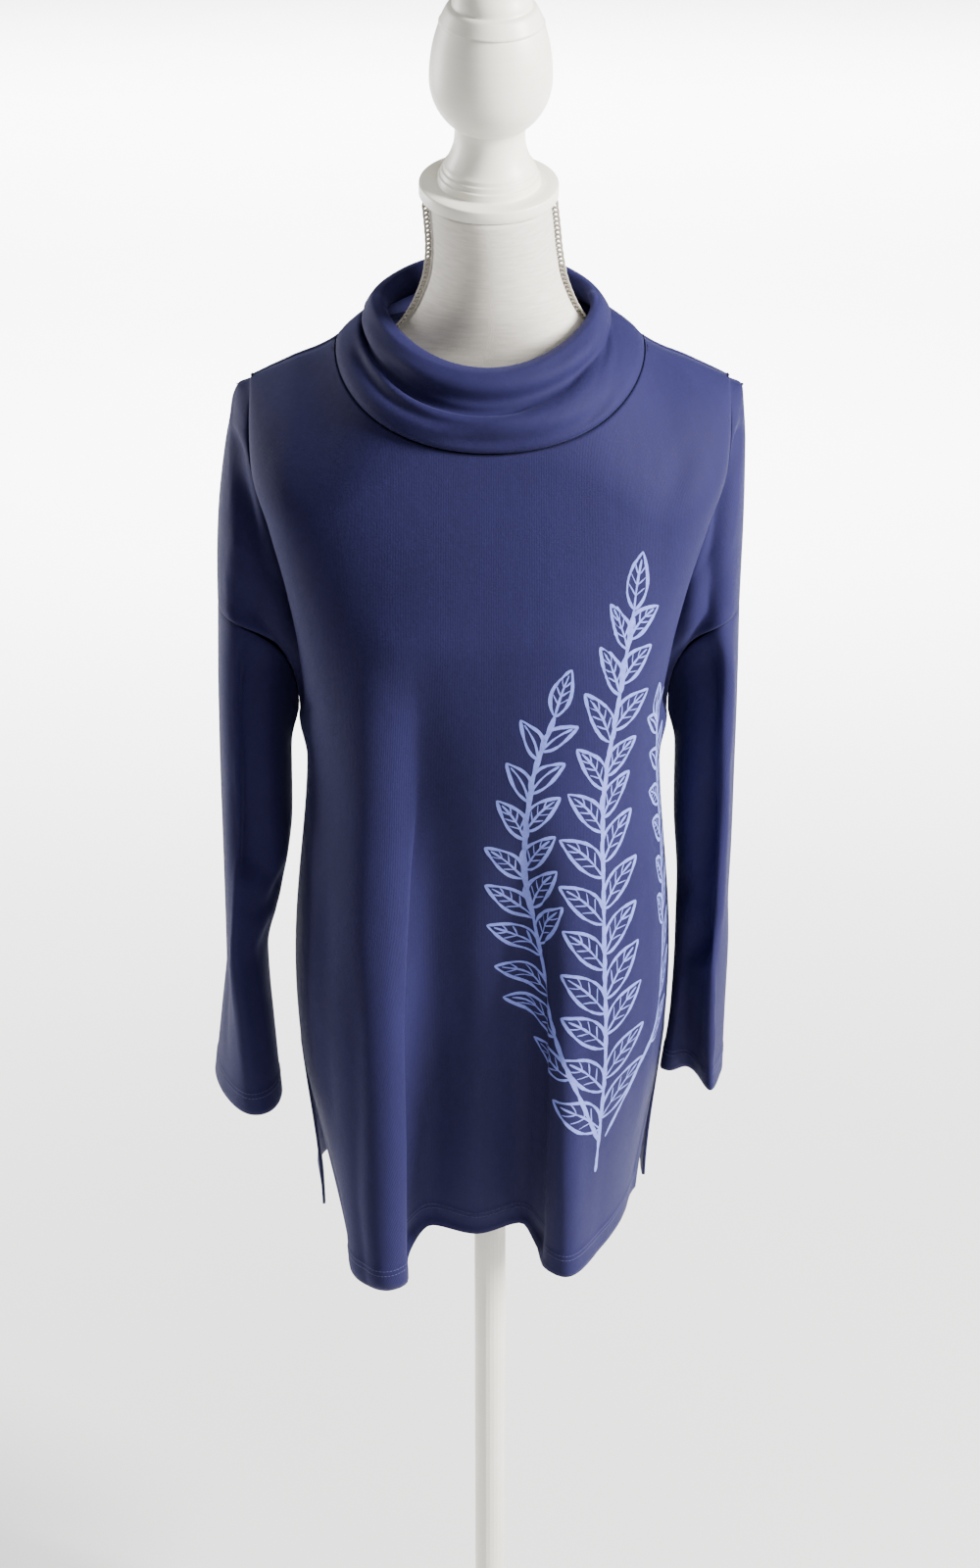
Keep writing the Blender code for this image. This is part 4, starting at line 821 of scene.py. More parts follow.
def build_panel(face, finish):
    """Front or back with its halves of the dropped shoulders. Returns the piece and its grid."""
    coarse = np.linspace(-1, 1, 1201)
    angles = 90 * np.sign(coarse) * np.abs(coarse) ** 1.2
    run = 0.0
    for fall in (0.0, 0.5, 1.0):
        line = lower_points(face, angles[None, :], np.array([[fall]]))[0]
        length = arc(line, 0)
        run = run + length / length[-1]
    run = run / 3
    spots = spaced(PANEL_WIDTH, PANEL_WIDTH / PANEL_COLUMNS[face], True, True) / PANEL_WIDTH
    angles = np.interp(spots, run, angles)
    angles[0], angles[-1] = -90.0, 90.0
    corner = math.degrees(math.asin((NECK_HALF_WIDTH / FOLD_TOP_X) ** (1 / SECTION_X_POWER)))
    close = np.array([corner + side * gap for side in (-1, 1) for gap in NEAR_CORNER] + [corner])
    away = np.abs(np.abs(angles) - corner) > NEAR_CORNER[-1] + 0.3
    angles = np.sort(np.concatenate([angles[away], close, -close]))
    middle = nearest(angles, 0.0)
    angles[middle] = 0.0
    shares = spaced(UPPER_LENGTH, UPPER_STEP, True, True) / UPPER_LENGTH
    falls = spaced(UNDERARM_H, LOWER_STEP[face]) / UNDERARM_H
    upper = upper_points(face, angles[None, :], shares[:, None])
    lower = lower_points(face, angles[None, :], falls[1:, None])
    body = np.concatenate([upper, lower])
    rows = len(shares)
    body = soften_join(body, rows - 1, angles)
    u = arc(body, 1)
    u = u - u[:, [middle]]
    v = arc(body[::-1], 0)[::-1]
    top = arc(body, 0)
    left_edge = arc(body, 1)
    right_edge = left_edge[:, [-1]] - left_edge
    height = body[..., 2]

    def on_body(angle, at_height):
        c = nearest(angles, angle)
        r = nearest(body[:, c, 2], at_height)
        return u[r, c], v[r, c]

    push = crease_sum(BODY_CREASES[face], u, v, on_body)
    for name, line, left, right, depth, soft_top, soft_bottom, fade in FLAT_FOLDS[face]:
        push += sharp_field(u, v, line, left, right, depth, soft_top, soft_bottom, fade)
    on_neck = (np.abs(angles) < corner)[None, :]
    groove_and_shade = near_edge(top) * np.where(on_neck, SEAM_DEPTH["neckline"], SEAM_DEPTH["shoulder"])
    seam_share = ease((height - VENT_TOP_H) / 0.004) * (np.arange(len(body)) >= rows - 1)[:, None]
    side_distance = np.minimum(left_edge, right_edge)
    groove_and_shade = np.maximum(groove_and_shade, SEAM_DEPTH["side"] * near_edge(side_distance) * seam_share)
    vent = band(side_distance, VENT_FACING) * ease((VENT_TOP_H + 0.01 - height) / 0.006)
    double = np.maximum(band(v, HEM_TURN), vent)
    push = push * (1 - 0.8 * near_edge(v, EDGE_CALM)) + PANEL_TURN_RISE * double

    points = [body.reshape(-1, 3)]
    fields = {"u": [u.ravel()], "v": [v.ravel()], "push": [push.ravel()], "groove_and_shade": [groove_and_shade.ravel()],
              "double": [double.ravel()]}
    index = np.arange(body.shape[0] * body.shape[1]).reshape(body.shape[:2])
    start = index.size
    back = face == "back"
    quads = grid_faces(index, back)
    across = spaced(EXTENSION_WIDTH, EXTENSION_WIDTH / EXTENSION_STEPS, False, True) / EXTENSION_WIDTH
    for side, edge in ((-1, 0), (1, -1)):
        part = extension_points(face, side, across[None, :], shares[:, None])
        run_out = arc(part, 1)
        extension_u = u[:rows, [edge]] + side * run_out
        extension_v = np.repeat(v[:rows, [edge]], len(across), 1)
        from_top = arc(part, 0)
        from_seam = from_top[[-1]] - from_top
        from_line = run_out[:, [-1]] - run_out

        def on_extension(at_across, at_share):
            r, c = nearest(shares, at_share), nearest(across, at_across)
            return extension_u[r, c], extension_v[r, c]

        out = crease_sum(SHOULDER_CREASES[(face, side)], extension_u, extension_v, on_extension)
        out *= np.clip(run_out / SHOULDER_CALM, 0, 1)
        for column_at, (drop, reach) in ((0, CORNER_DROPS["fold"]), (-1, CORNER_DROPS["tip"])):
            away = np.linalg.norm(part - part[0, column_at], axis=-1)
            part[..., 2] -= drop * np.exp(-(away / reach) ** 2)
        valley = np.maximum.reduce([
            SEAM_DEPTH["shoulder"] * near_edge(from_top), SEAM_DEPTH["armhole"] * near_edge(from_seam),
            SEAM_DEPTH["shoulder"] * near_edge(from_line),
        ])
        part, run_out = part[:, 1:], run_out[:, 1:]
        count = part.shape[0] * part.shape[1]
        added = np.arange(start, start + count).reshape(part.shape[:2])
        grid = np.hstack([index[:rows, edge][:, None], added])
        quads += grid_faces(grid, back != (side < 0))
        points.append(part.reshape(-1, 3))
        for key, values in (("u", extension_u), ("v", extension_v), ("push", out), ("groove_and_shade", valley),
                            ("double", np.zeros(out.shape))):
            fields[key].append(values[:, 1:].ravel())
        start += count
    joined = {key: np.concatenate(values) for key, values in fields.items()}
    piece, moved = make_cloth(
        face + "_cloth", np.concatenate(points), quads, joined["u"], joined["v"], joined["push"],
        joined["groove_and_shade"], joined["double"], finish,
    )
    surface = moved[:index.size].reshape(body.shape)
    return piece, dict(points=surface, u=u, v=v, top=top, middle=middle)


def make_tube(name, grid, fields, flip, finish):
    """Cloth from a grid of rings, its fields given with the first column again at the end."""
    rows, around = grid.shape[:2]
    index = np.arange(rows * around).reshape(rows, around)
    quads = grid_faces(np.hstack([index, index[:, :1]]), flip)
    whole_round = np.repeat(fields[0][:, -1], around)
    piece, moved = make_cloth(
        name, grid.reshape(-1, 3), quads, *[field[:, :-1].ravel() for field in fields], finish, whole_round)
    return piece, moved.reshape(grid.shape)


def build_sleeve(name, side, finish):
    shares = spaced(SLEEVE_LENGTH, SLEEVE_STEP, True, False) / SLEEVE_LENGTH
    turns = np.arange(2 * SLEEVE_HALF_STEPS) * 180.0 / SLEEVE_HALF_STEPS
    grid = sleeve_points(side, turns, shares)
    closed = np.concatenate([grid, grid[:, :1]], 1)
    u = arc(closed, 1)
    v = arc(closed, 0)
    cuff = v[[-1]] - v

    def on_sleeve(turn, share):
        r, c = nearest(shares, share), nearest(turns, turn)
        return u[r, c], v[r, c]

    push = crease_sum(SLEEVE_CREASES[side], u, v, on_sleeve)
    groove_and_shade = SEAM_DEPTH["armhole"] * near_edge(v)
    underarm = np.minimum(u, u[:, [-1]] - u)
    groove_and_shade = np.maximum(groove_and_shade, SEAM_DEPTH["underarm"] * near_edge(underarm, UNDERARM_GROOVE))
    double = band(cuff, HEM_TURN)
    push = push * (1 - 0.8 * near_edge(cuff, EDGE_CALM)) + SLEEVE_TURN_RISE * double
    piece, points = make_tube(name, grid, (u, v, push, groove_and_shade, double), side < 0, finish)
    return piece, dict(points=points, cuff=cuff)


def collar_rings(turns):
    rings = [np.array([neckline_point(t) for t in turns])]
    ends = {True: neckline_point(0), False: neckline_point(180)}
    for row in COLLAR_ROWS:
        place = dict(zip(COLLAR_NAMES, row))
        ring = []
        for number, turn in enumerate(turns):
            cosine = math.cos(math.radians(turn))
            seam = rings[0][number]
            end = ends[cosine > 0]
            end_y, end_h = ("front_y", "front_h") if cosine > 0 else ("back_y", "back_h")
            seam_y = (seam[1] - SHOULDER_Y) / (end[1] - SHOULDER_Y)
            seam_h = (seam[2] - NECK_SIDE_H) / (end[2] - NECK_SIDE_H)
            lean_y = abs(cosine) ** COLLAR_Y_POWER
            lean_h = abs(cosine) ** COLLAR_H_POWER
            lean_y += (seam_y - lean_y) * place["follow"]
            lean_h += (seam_h - lean_h) * place["follow"]
            ring.append((
                place["x"] + place["half_width"] * math.sin(math.radians(turn)),
                SHOULDER_Y + (place[end_y] - SHOULDER_Y) * lean_y,
                place["side_h"] + (place[end_h] - place["side_h"]) * lean_h,
            ))
        rings.append(np.array(ring))
    return np.array(rings)


def build_collar(finish):
    turns = np.arange(COLLAR_STEPS) * 360.0 / COLLAR_STEPS - 180.0      # from the middle of the back
    rings = collar_rings(turns)
    stations = np.arange(len(rings), dtype=float)
    fine = np.concatenate([COLLAR_ROWS_NEAR_SEAM, np.arange(0.9, stations[-1] + 0.01, COLLAR_ROW_STEP)])
    fine[-1] = stations[-1]
    grid = np.zeros((len(fine), len(turns), 3))
    for k in range(len(turns)):
        for axis in range(3):
            grid[:, k, axis] = smooth(stations, rings[:, k, axis], fine)
    closed = np.concatenate([grid, grid[:, :1]], 1)
    u = arc(closed, 1)
    v = arc(closed, 0)

    def on_collar(turn, row, shift):
        r = nearest(fine, row)
        from_back = turn + 180.0
        k = int(round(from_back % 360.0 / 360.0 * COLLAR_STEPS))
        return (from_back + shift) / 360.0 * u[r, -1], v[r, k]

    push = sum(
        crease_sum(COLLAR_CREASES, u, v, lambda turn, row, shift=shift: on_collar(turn, row, shift))
        for shift in (-360, 0, 360)
    )
    push = push * ease(v / COLLAR_CALM)
    layers = (u, v, push, near_edge(v), np.zeros(u.shape))
    piece, points = make_tube("collar_cloth", grid, layers, True, finish)
    return piece, dict(points=points, v=v)


# ---- stitches and print: laid on a grid that has been built ----
def level_line(grid, key, distance):
    """The line on a grid that keeps one distance from its edge: a point for each column."""
    points, field = grid["points"], grid[key]
    rows = np.arange(points.shape[0])
    line = []
    for c in range(points.shape[1]):
        order = np.argsort(field[:, c])
        at = np.interp(distance, field[order, c], rows[order])
        low = int(min(max(math.floor(at), 0), len(rows) - 2))
        part = at - low
        line.append(points[low, c] * (1 - part) + points[low + 1, c] * part)
    return np.array(line)


def resample(line, step):
    run = arc(line, 0)
    count = max(2, int(run[-1] / step))
    at = np.linspace(0, run[-1], count + 1)
    return np.stack([np.interp(at, run, line[:, k]) for k in range(3)], -1)


def stitch_mesh(name, lines, finish):
    """Short rounded threads along lines of (points, normals)."""
    verts, faces = [], []
    sides = STITCH_SIDES
    for line, normals in lines:
        mids = (line[1:] + line[:-1]) / 2
        ways = line[1:] - line[:-1]
        outs = (normals[1:] + normals[:-1]) / 2
        for mid, way, out in zip(mids, ways, outs):
            way = way / max(1e-9, np.linalg.norm(way))
            out = out - way * out.dot(way)
            out = out / max(1e-9, np.linalg.norm(out))
            across = np.cross(way, out)
            start = len(verts)
            for along, thick, rise in STITCH_PROFILE:
                lift = STITCH_LIFT + rise * STITCH_RADIUS * 0.5
                centre = mid + way * along * STITCH_LENGTH + out * lift
                for k in range(sides):
                    turn = 2 * math.pi * k / sides
                    verts.append(
                        centre + (across * math.cos(turn) + out * math.sin(turn)) * STITCH_RADIUS * thick)
            for r in range(3):
                for k in range(sides):
                    a = start + r * sides + k
                    b = start + r * sides + (k + 1) % sides
                    faces.append((a, b, b + sides, a + sides))
            faces.append(tuple(range(start, start + sides))[::-1])
            faces.append(tuple(range(start + 3 * sides, start + 4 * sides)))
    return new_piece(name, verts, faces, finish)


def outward(line, centre_of):
    """Outward normals of a level line: away from the given centre, square to the line."""
    ways = np.gradient(line, axis=0)
    ways /= np.linalg.norm(ways, axis=1)[:, None] + 1e-12
    out = line - centre_of
    out[:, 2] = 0
    out -= ways * (out * ways).sum(1)[:, None]
    return out / (np.linalg.norm(out, axis=1)[:, None] + 1e-12)


def grid_normals(points):
    normal = np.cross(np.gradient(points, axis=0), np.gradient(points, axis=1))
    return normal / (np.linalg.norm(normal, axis=-1)[..., None] + 1e-12)


def on_grid(grid, normals, u, v, lift):
    """Point of a built grid at flat place (u, v), lifted off along the normal."""
    rows = grid["points"].shape[0]
    c = grid["middle"]
    for turn in range(6):
        fr = np.interp(v, grid["v"][::-1, int(round(c))], np.arange(rows)[::-1])
        low = int(min(max(math.floor(fr), 0), rows - 2))
        part = fr - low
        us = grid["u"][low] * (1 - part) + grid["u"][low + 1] * part
        c = np.interp(u, us, np.arange(len(us)))
    k = int(min(max(math.floor(c), 0), len(us) - 2))
    q = c - k

    def mix(values):
        upper = values[low, k] * (1 - q) + values[low, k + 1] * q
        lower = values[low + 1, k] * (1 - q) + values[low + 1, k + 1] * q
        return upper * (1 - part) + lower * part

    normal = mix(normals)
    normal = normal / np.linalg.norm(normal)
    return mix(grid["points"]) + normal * lift


def strip_faces(start, columns, across, closed=False):
    """Quads of a strip whose points are numbered across it, one column after another."""
    faces = []
    for k in range(columns if closed else columns - 1):
        for r in range(across - 1):
            a, b = start + k * across + r, start + (k + 1) % columns * across + r
            faces.append((a, a + 1, b + 1, b))
    return faces


def build_allowance(name, panels, collar, finish):
    """Turned-in edges behind the seams: strips under each panel's top edge and inside the collar's foot."""
    verts, faces = [], []
    for grid in panels:
        points, top = grid["points"], grid["top"]
        normals = grid_normals(points)
        if (normals[4, grid["middle"]] * points[4, grid["middle"]])[1] < 0:
            normals = -normals
        chosen = range(1, points.shape[1] - 1)
        start = len(verts)
        for c in chosen:
            below = int(np.searchsorted(top[:, c], ALLOWANCE_WIDE))
            edge = points[0, c]
            down = points[below, c] - edge
            down = down / np.linalg.norm(down)
            verts += [edge + down * along - normals[below, c] * depth for along, depth in PANEL_ALLOWANCE]
        faces += strip_faces(start, len(chosen), len(PANEL_ALLOWANCE))
    points = collar["points"]
    start, around = len(verts), points.shape[1]
    centre = points[0].mean(0)
    for c in range(around):
        above = int(np.searchsorted(collar["v"][:, c], -COLLAR_ALLOWANCE[0][0]))
        edge = points[0, c]
        down = edge - points[above, c]
        down = down / np.linalg.norm(down)
        out = np.cross(points[0, (c + 1) % around] - points[0, c - 1], down)
        out = out / np.linalg.norm(out)
        if out.dot(edge - centre) < 0:
            out = -out
        verts += [edge + down * along - out * depth for along, depth in COLLAR_ALLOWANCE]
    faces += strip_faces(start, around, len(COLLAR_ALLOWANCE), True)
    piece = new_piece(name, verts, faces, finish)
    place = np.array(verts)[loop_points(piece.data)]
    add_flat_map(piece.data, np.arctan2(place[:, 0], -place[:, 1]) * NECK_HALF_WIDTH, place[:, 2])
    return piece


def leaf_lines(base, turned, length, width, bend, steps=22):
    """Lines of an almond leaf: both edges, the middle rib and three pairs of veins."""
    base = np.array(base, float)
    side = np.array((-turned[1], turned[0]))

    def point(t, across):
        swell = math.sin(math.pi * t ** 0.82) ** 0.92
        middle = base + turned * length * t + side * bend * math.sin(math.pi * t)
        return middle + side * width / 2 * swell * across

    shares = np.linspace(0, 1, steps + 1)
    lines = [
        (np.array([point(t, 1.0) for t in shares]), PRINT_EDGE),
        (np.array([point(t, -1.0) for t in shares]), PRINT_EDGE),
        (np.array([point(t, 0.0) for t in shares[:-3]]), PRINT_RIB),
    ]
    if length > VEINED_LEAF:
        for start in VEIN_STARTS:
            for way in (-1, 1):
                vein = [point(start + 0.17 * k, way * 0.78 * k) for k in (0.0, 0.35, 0.7, 1.0)]
                lines.append((np.array(vein), PRINT_VEIN))
    return lines


def print_lines():
    """The printed design: a tall spray of stems with almond leaves, as (flat points, width) lines."""
    rng = np.random.default_rng(7)
    lines = []
    for name, points, first, pitch, grown, bare in PRINT_STEMS:
        points = np.array(points)
        at = np.linspace(0, 1, len(points))
        fine = np.linspace(0, 1, 90)
        path = np.stack([smooth(at, points[:, k], fine) for k in range(2)], -1)
        for _ in range(6):
            path[1:-1] = (path[:-2] + 2 * path[1:-1] + path[2:]) / 4
        lines.append((path, PRINT_STEM))
        run = np.concatenate([[0], np.cumsum(np.linalg.norm(np.diff(path, axis=0), axis=1))])
        along = first
        while along < run[-1] - 0.010:
            k = int(np.searchsorted(run, along))
            way = path[min(k + 1, len(path) - 1)] - path[max(k - 1, 0)]
            way /= np.linalg.norm(way)
            share = along / run[-1]
            length = grown * (1 - LEAF_TAPER * share) * (LEAF_UNEVEN[0] + LEAF_UNEVEN[1] * rng.random())
            for side in (-1, 1):
                if side == bare and share < 0.40:
                    continue
                lean = math.radians(
                    LEAF_LEAN[0] - LEAF_LEAN[1] * share + LEAF_LEAN[2] * (rng.random() - 0.5))
                turned = np.array((
                    way[0] * math.cos(lean) + side * way[1] * math.sin(lean),
                    -side * way[0] * math.sin(lean) + way[1] * math.cos(lean),
                ))
                base = path[min(k + (2 if side > 0 else 0), len(path) - 1)]
                lines += leaf_lines(base, turned, length, length * LEAF_SHAPE, side * LEAF_BEND)
            along += pitch
        last = (path[-1] - path[-4]) / np.linalg.norm(path[-1] - path[-4])
        lines += leaf_lines(path[-1], last, 0.7 * grown, 0.27 * grown, 0.001)
    return lines


def build_print(grid, finish):
    normals = grid_normals(grid["points"])
    if normals[20, grid["middle"], 1] > 0:
        normals = -normals
    verts, faces = [], []
    rng = np.random.default_rng(3)
    for line, width in print_lines():
        run = np.concatenate([[0], np.cumsum(np.linalg.norm(np.diff(line, axis=0), axis=1))])
        count = max(3, int(run[-1] / PRINT_STEP))
        at = np.linspace(0, run[-1], count + 1)
        path = np.stack([np.interp(at, run, line[:, k]) for k in range(2)], -1)
        ways = np.gradient(path, axis=0)
        ways /= np.linalg.norm(ways, axis=1)[:, None] + 1e-12
        sides = np.stack([-ways[:, 1], ways[:, 0]], -1)
        phase = rng.random() * 6.28
        start = len(verts)
        for k in range(len(path)):
            ends = min(1.0, 0.45 + min(at[k], run[-1] - at[k]) / 0.006)
            uneven = 1 + 0.22 * math.sin(at[k] * 190 + phase) + 0.12 * math.sin(at[k] * 410 + phase * 2)
            half = width / 2 * ends * uneven
            for across in (-1, 0, 1):
                place = path[k] + sides[k] * half * across
                verts.append(on_grid(grid, normals, place[0], place[1], PRINT_LIFT))
        faces += strip_faces(start, len(path), 3)
    return new_piece("printed_leaves", verts, faces, finish)


# ---- the form ----
def torso_point(height, turn, out=0.0):
    """A point of the covered torso and neck; turn in degrees from the centre front, by the right."""
    at = column(TORSO_ROWS, TORSO_NAMES, "height")
    place = {n: float(smooth(at, column(TORSO_ROWS, TORSO_NAMES, n), height)) for n in TORSO_NAMES[1:]}
    sine, cosine = math.sin(math.radians(turn)), math.cos(math.radians(turn))
    depth = place["front"] if cosine > 0 else place["back"]
    slim = NECK_SLIM * float(ease((height - 0.775) / 0.035))
    x = place["x"] + (place["half_width"] - slim + out) * sine
    y = place["y"] - (depth + out) * cosine
    slanted = max(0.0, (height - LEAN_FROM) / (NECK_TOP_H - LEAN_FROM))
    forward = math.tan(math.radians(FORM_LEAN)) * slanted
    aside = math.tan(math.radians(FORM_ROLL)) / math.cos(math.radians(FORM_LEAN)) * slanted
    return np.array((x, y, height + (y - place["y"]) * forward - (x - place["x"]) * aside + HEM_Z))


def build_form(finish):
    """The covered torso and neck, with closer rows at its lower edge and up the neck."""
    heights = np.concatenate([
        [0.2150, 0.2162, 0.2180, 0.2210], np.arange(0.226, 0.76, 0.010), np.arange(0.762, 0.9005, 0.0045),
        [NECK_TOP_H],
    ])
    steps = FORM_STEPS
    points = np.array([[torso_point(h, 360.0 * k / steps) for k in range(steps)] for h in heights])
    verts = points.reshape(-1, 3)
    faces = []
    for r in range(len(heights) - 1):
        for k in range(steps):
            a, b = r * steps + k, r * steps + (k + 1) % steps
            faces.append((a, b, b + steps, a + steps))
    faces.append(tuple(range(steps))[::-1])
    faces.append(tuple(range(len(verts) - steps, len(verts))))
    piece = new_piece("covered_form", verts, faces, finish)
    loops = loop_points(piece.data)
    add_flat_map(piece.data, (loops % steps) / steps * FORM_ROUND, heights[loops // steps])
    return piece


def cord(points, radius, sides):
    """Vertices and faces of a round cord through the points."""
    points = np.asarray(points, float)
    ways = np.gradient(points, axis=0)
    ways /= np.linalg.norm(ways, axis=1)[:, None] + 1e-12
    up = np.array((0.0, 0.0, 1.0)) if abs(ways[0][2]) < 0.9 else np.array((1.0, 0.0, 0.0))
    verts, faces = [], []
    across = np.cross(ways[0], up)
    for k, (point, way) in enumerate(zip(points, ways)):
        across = across - way * across.dot(way)
        across /= np.linalg.norm(across) + 1e-12
        out = np.cross(way, across)
        for s in range(sides):
            turn = 2 * math.pi * s / sides
            verts.append(point + (across * math.cos(turn) + out * math.sin(turn)) * radius)
    for k in range(len(points) - 1):
        for s in range(sides):
            a, b = k * sides + s, k * sides + (s + 1) % sides
            faces.append((a, b, b + sides, a + sides))
    faces.append(tuple(range(sides))[::-1])
    faces.append(tuple(range(len(verts) - sides, len(verts))))
    return verts, faces


def build_trim(name, turn_low, turn_high, finish):
    """Braided gimp down one side of the neck: two looping cords between two edge cords."""
    low, high = GIMP_FROM_TO
    heights = np.linspace(high, low, GIMP_STEPS)
    turns = turn_low + (turn_high - turn_low) * (heights - low) / (high - low)
    centre = np.array([torso_point(h, t, GIMP_RISE) for h, t in zip(heights, turns)])
    further = np.array([torso_point(h, t, GIMP_RISE + 0.005) for h, t in zip(heights, turns)])
    length = arc(centre, 0)
    ways = np.gradient(centre, axis=0)
    ways /= np.linalg.norm(ways, axis=1)[:, None]
    outs = further - centre
    outs -= ways * (outs * ways).sum(1)[:, None]
    outs /= np.linalg.norm(outs, axis=1)[:, None]
    sides = np.cross(ways, outs)
    if centre[0, 0] < 0:
        sides = -sides
    tilt = math.radians(GIMP_TILT)
    sides, outs = (
        sides * math.cos(tilt) + outs * math.sin(tilt), outs * math.cos(tilt) - sides * math.sin(tilt))
    verts, faces = [], []

    def add(line, radius, rounds):
        more, loops = cord(line, radius, rounds)
        faces.extend(tuple(i + len(verts) for i in loop) for loop in loops)
        verts.extend(more)

    for start in (0.0, math.pi):
        phase = length * 2 * math.pi / GIMP_LOOP + start
        weave = (GIMP_OVER * np.cos(2 * phase) + GIMP_LIFT)[:, None]
        add(centre + sides * (GIMP_HALF * np.sin(phase))[:, None] + outs * weave, GIMP_CORD, 6)
    for edge in (-1, 1):
        wobble = (0.0002 * np.sin(length * 900.0))[:, None]
        add((centre + sides * (edge * (GIMP_HALF + GIMP_EDGE_GAP) + wobble))[::4], GIMP_EDGE_CORD, 5)
    return new_piece(name, verts, faces, finish)


def knob_radius(rise):
    return KNOB_RADIUS * math.sqrt(max(0.0, 1 - (rise / KNOB_RISE) ** 2))


def build_cap(finish):
    line = [(0.0, 0.0)] + list(CAP_PROFILE)
    for k in range(KNOB_STEPS + 1):
        turn = math.radians(KNOB_FROM + (90.0 - KNOB_FROM) * k / KNOB_STEPS)
        line.append((KNOB_MIDDLE - KNOB_RADIUS * math.cos(turn), KNOB_RADIUS * math.sin(turn)))
    for k in range(1, KNOB_STEPS + 1):
        rise = KNOB_LIP * k / KNOB_STEPS
        line.append((KNOB_MIDDLE + rise, knob_radius(rise)))
    lip = KNOB_LIP + LINE_DEPTH
    line.append((KNOB_MIDDLE + lip * 0.995, knob_radius(KNOB_LIP) - LINE_DEPTH * 0.4))
    line.append((KNOB_MIDDLE + lip, knob_radius(KNOB_LIP) + LINE_DEPTH / 2))
    for k in range(1, 7):
        rise = lip + (KNOB_LEDGE - lip) * k / 7
        line.append((KNOB_MIDDLE + rise, knob_radius(rise) + LINE_DEPTH / 2))
    line.append((KNOB_MIDDLE + KNOB_LEDGE, knob_radius(KNOB_LEDGE)))
    line.append((KNOB_MIDDLE + KNOB_LEDGE + 0.0002, knob_radius(KNOB_LEDGE) - LINE_DEPTH * 1.6))
    for k in range(KNOB_STEPS):
        turn = math.radians(90.0 * k / KNOB_STEPS)
        top = KNOB_LEDGE + LINE_DEPTH / 2 + (KNOB_RISE - KNOB_LEDGE) * math.sin(turn)
        line.append((KNOB_MIDDLE + top, (knob_radius(KNOB_LEDGE) - 2 * LINE_DEPTH) * math.cos(turn)))
    line.append((KNOB_MIDDLE + KNOB_RISE + LINE_DEPTH / 2, 0.0))
    edges = [(k, k + 1) for k in range(len(line) - 1)]
    piece = new_piece("turned_cap", [(r, 0.0, z) for z, r in reversed(line)], [], finish, edges)
    turn = piece.modifiers.new("turned", "SCREW")
    turn.steps = CAP_STEPS
    turn.render_steps = CAP_STEPS
    turn.use_merge_vertices = True
    turn.merge_threshold = 0.00001
    turn.use_smooth_shade = True
    neck = dict(zip(TORSO_NAMES, TORSO_ROWS[-1]))
    piece.location = (neck["x"], neck["y"], NECK_TOP_H + HEM_Z + CAP_GAP)
    piece.rotation_euler = (math.radians(FORM_LEAN), math.radians(FORM_ROLL), 0.0)
    apply_modifier(piece, "turned")
    return piece


# ---- materials ----
class Nodes:
    """Short names for building a material's nodes."""

    def __init__(self, name):
        self.material = bpy.data.materials.new(name)
        self.material.use_nodes = True
        self.tree = self.material.node_tree
        self.place = self.node("ShaderNodeTexCoord").outputs["Object"]

    def feed(self, socket, value):
        """Give an input its value, or link it."""
        if isinstance(value, tuple):
            socket.default_value = (*value, 1.0) if socket.type == "RGBA" else value
        elif isinstance(value, (int, float)):
            socket.default_value = value
        else:
            self.tree.links.new(value, socket)

    def node(self, kind, inputs=(), **settings):
        made = self.tree.nodes.new(kind)
        for name, value in settings.items():
            setattr(made, name, value)
        for slot, value in dict(inputs).items():
            self.feed(made.inputs[slot], value)
        return made

    def math(self, operation, *values):
        return self.node("ShaderNodeMath", enumerate(values), operation=operation).outputs[0]

    def mix(self, factor, a, b):
        return self.node("ShaderNodeMix", {0: factor, 6: a, 7: b}, data_type="RGBA").outputs[2]

    def noise(self, scale, detail, roughness, vector=None):
        vector = self.place if vector is None else vector
        inputs = {"Scale": scale, "Detail": detail, "Roughness": roughness, "Vector": vector}
        return self.node("ShaderNodeTexNoise", inputs).outputs["Fac"]

    def stretched(self, vector, scale):
        return self.node("ShaderNodeMapping", {"Vector": vector, "Scale": scale}).outputs["Vector"]

    def waves(self, value, pitch):
        return self.math("SINE", self.math("MULTIPLY", value, 2 * math.pi / pitch))

    def flat(self):
        """The flat map that make_cloth lays out, whole and as its two lengths."""
        whole = self.node("ShaderNodeUVMap", uv_map="flat").outputs["UV"]
        apart = self.node("ShaderNodeSeparateXYZ", {0: whole})
        return whole, apart.outputs[0], apart.outputs[1]

    def layer(self, name):
        return self.node("ShaderNodeAttribute", attribute_name=name).outputs["Fac"]

    def ramp(self, value, low, high, out_low=0.0, out_high=1.0):
        ends = {"Value": value, "From Min": low, "From Max": high, "To Min": out_low, "To Max": out_high}
        return self.node("ShaderNodeMapRange", ends, clamp=True).outputs["Result"]

    def bump(self, height, strength, distance, below=None):
        inputs = {"Strength": strength, "Distance": distance, "Height": height}
        if below is not None:
            inputs["Normal"] = below
        return self.node("ShaderNodeBump", inputs).outputs["Normal"]

    def finish(self, inputs):
        """Give the shader its inputs and return the material."""
        shader = self.tree.nodes["Principled BSDF"]
        for name, value in inputs.items():
            self.feed(shader.inputs[name], value)
        return self.material


def scaled(colour, times):
    return tuple(min(1.0, c * times) for c in colour)


WALE = 0.00125           # pitch of the knit's columns and rows, and how far its loops slant
COURSE = 0.00095
LOOP_LEAN = 0.0006
YARN_PITCH = 0.0011      # of the linen cover


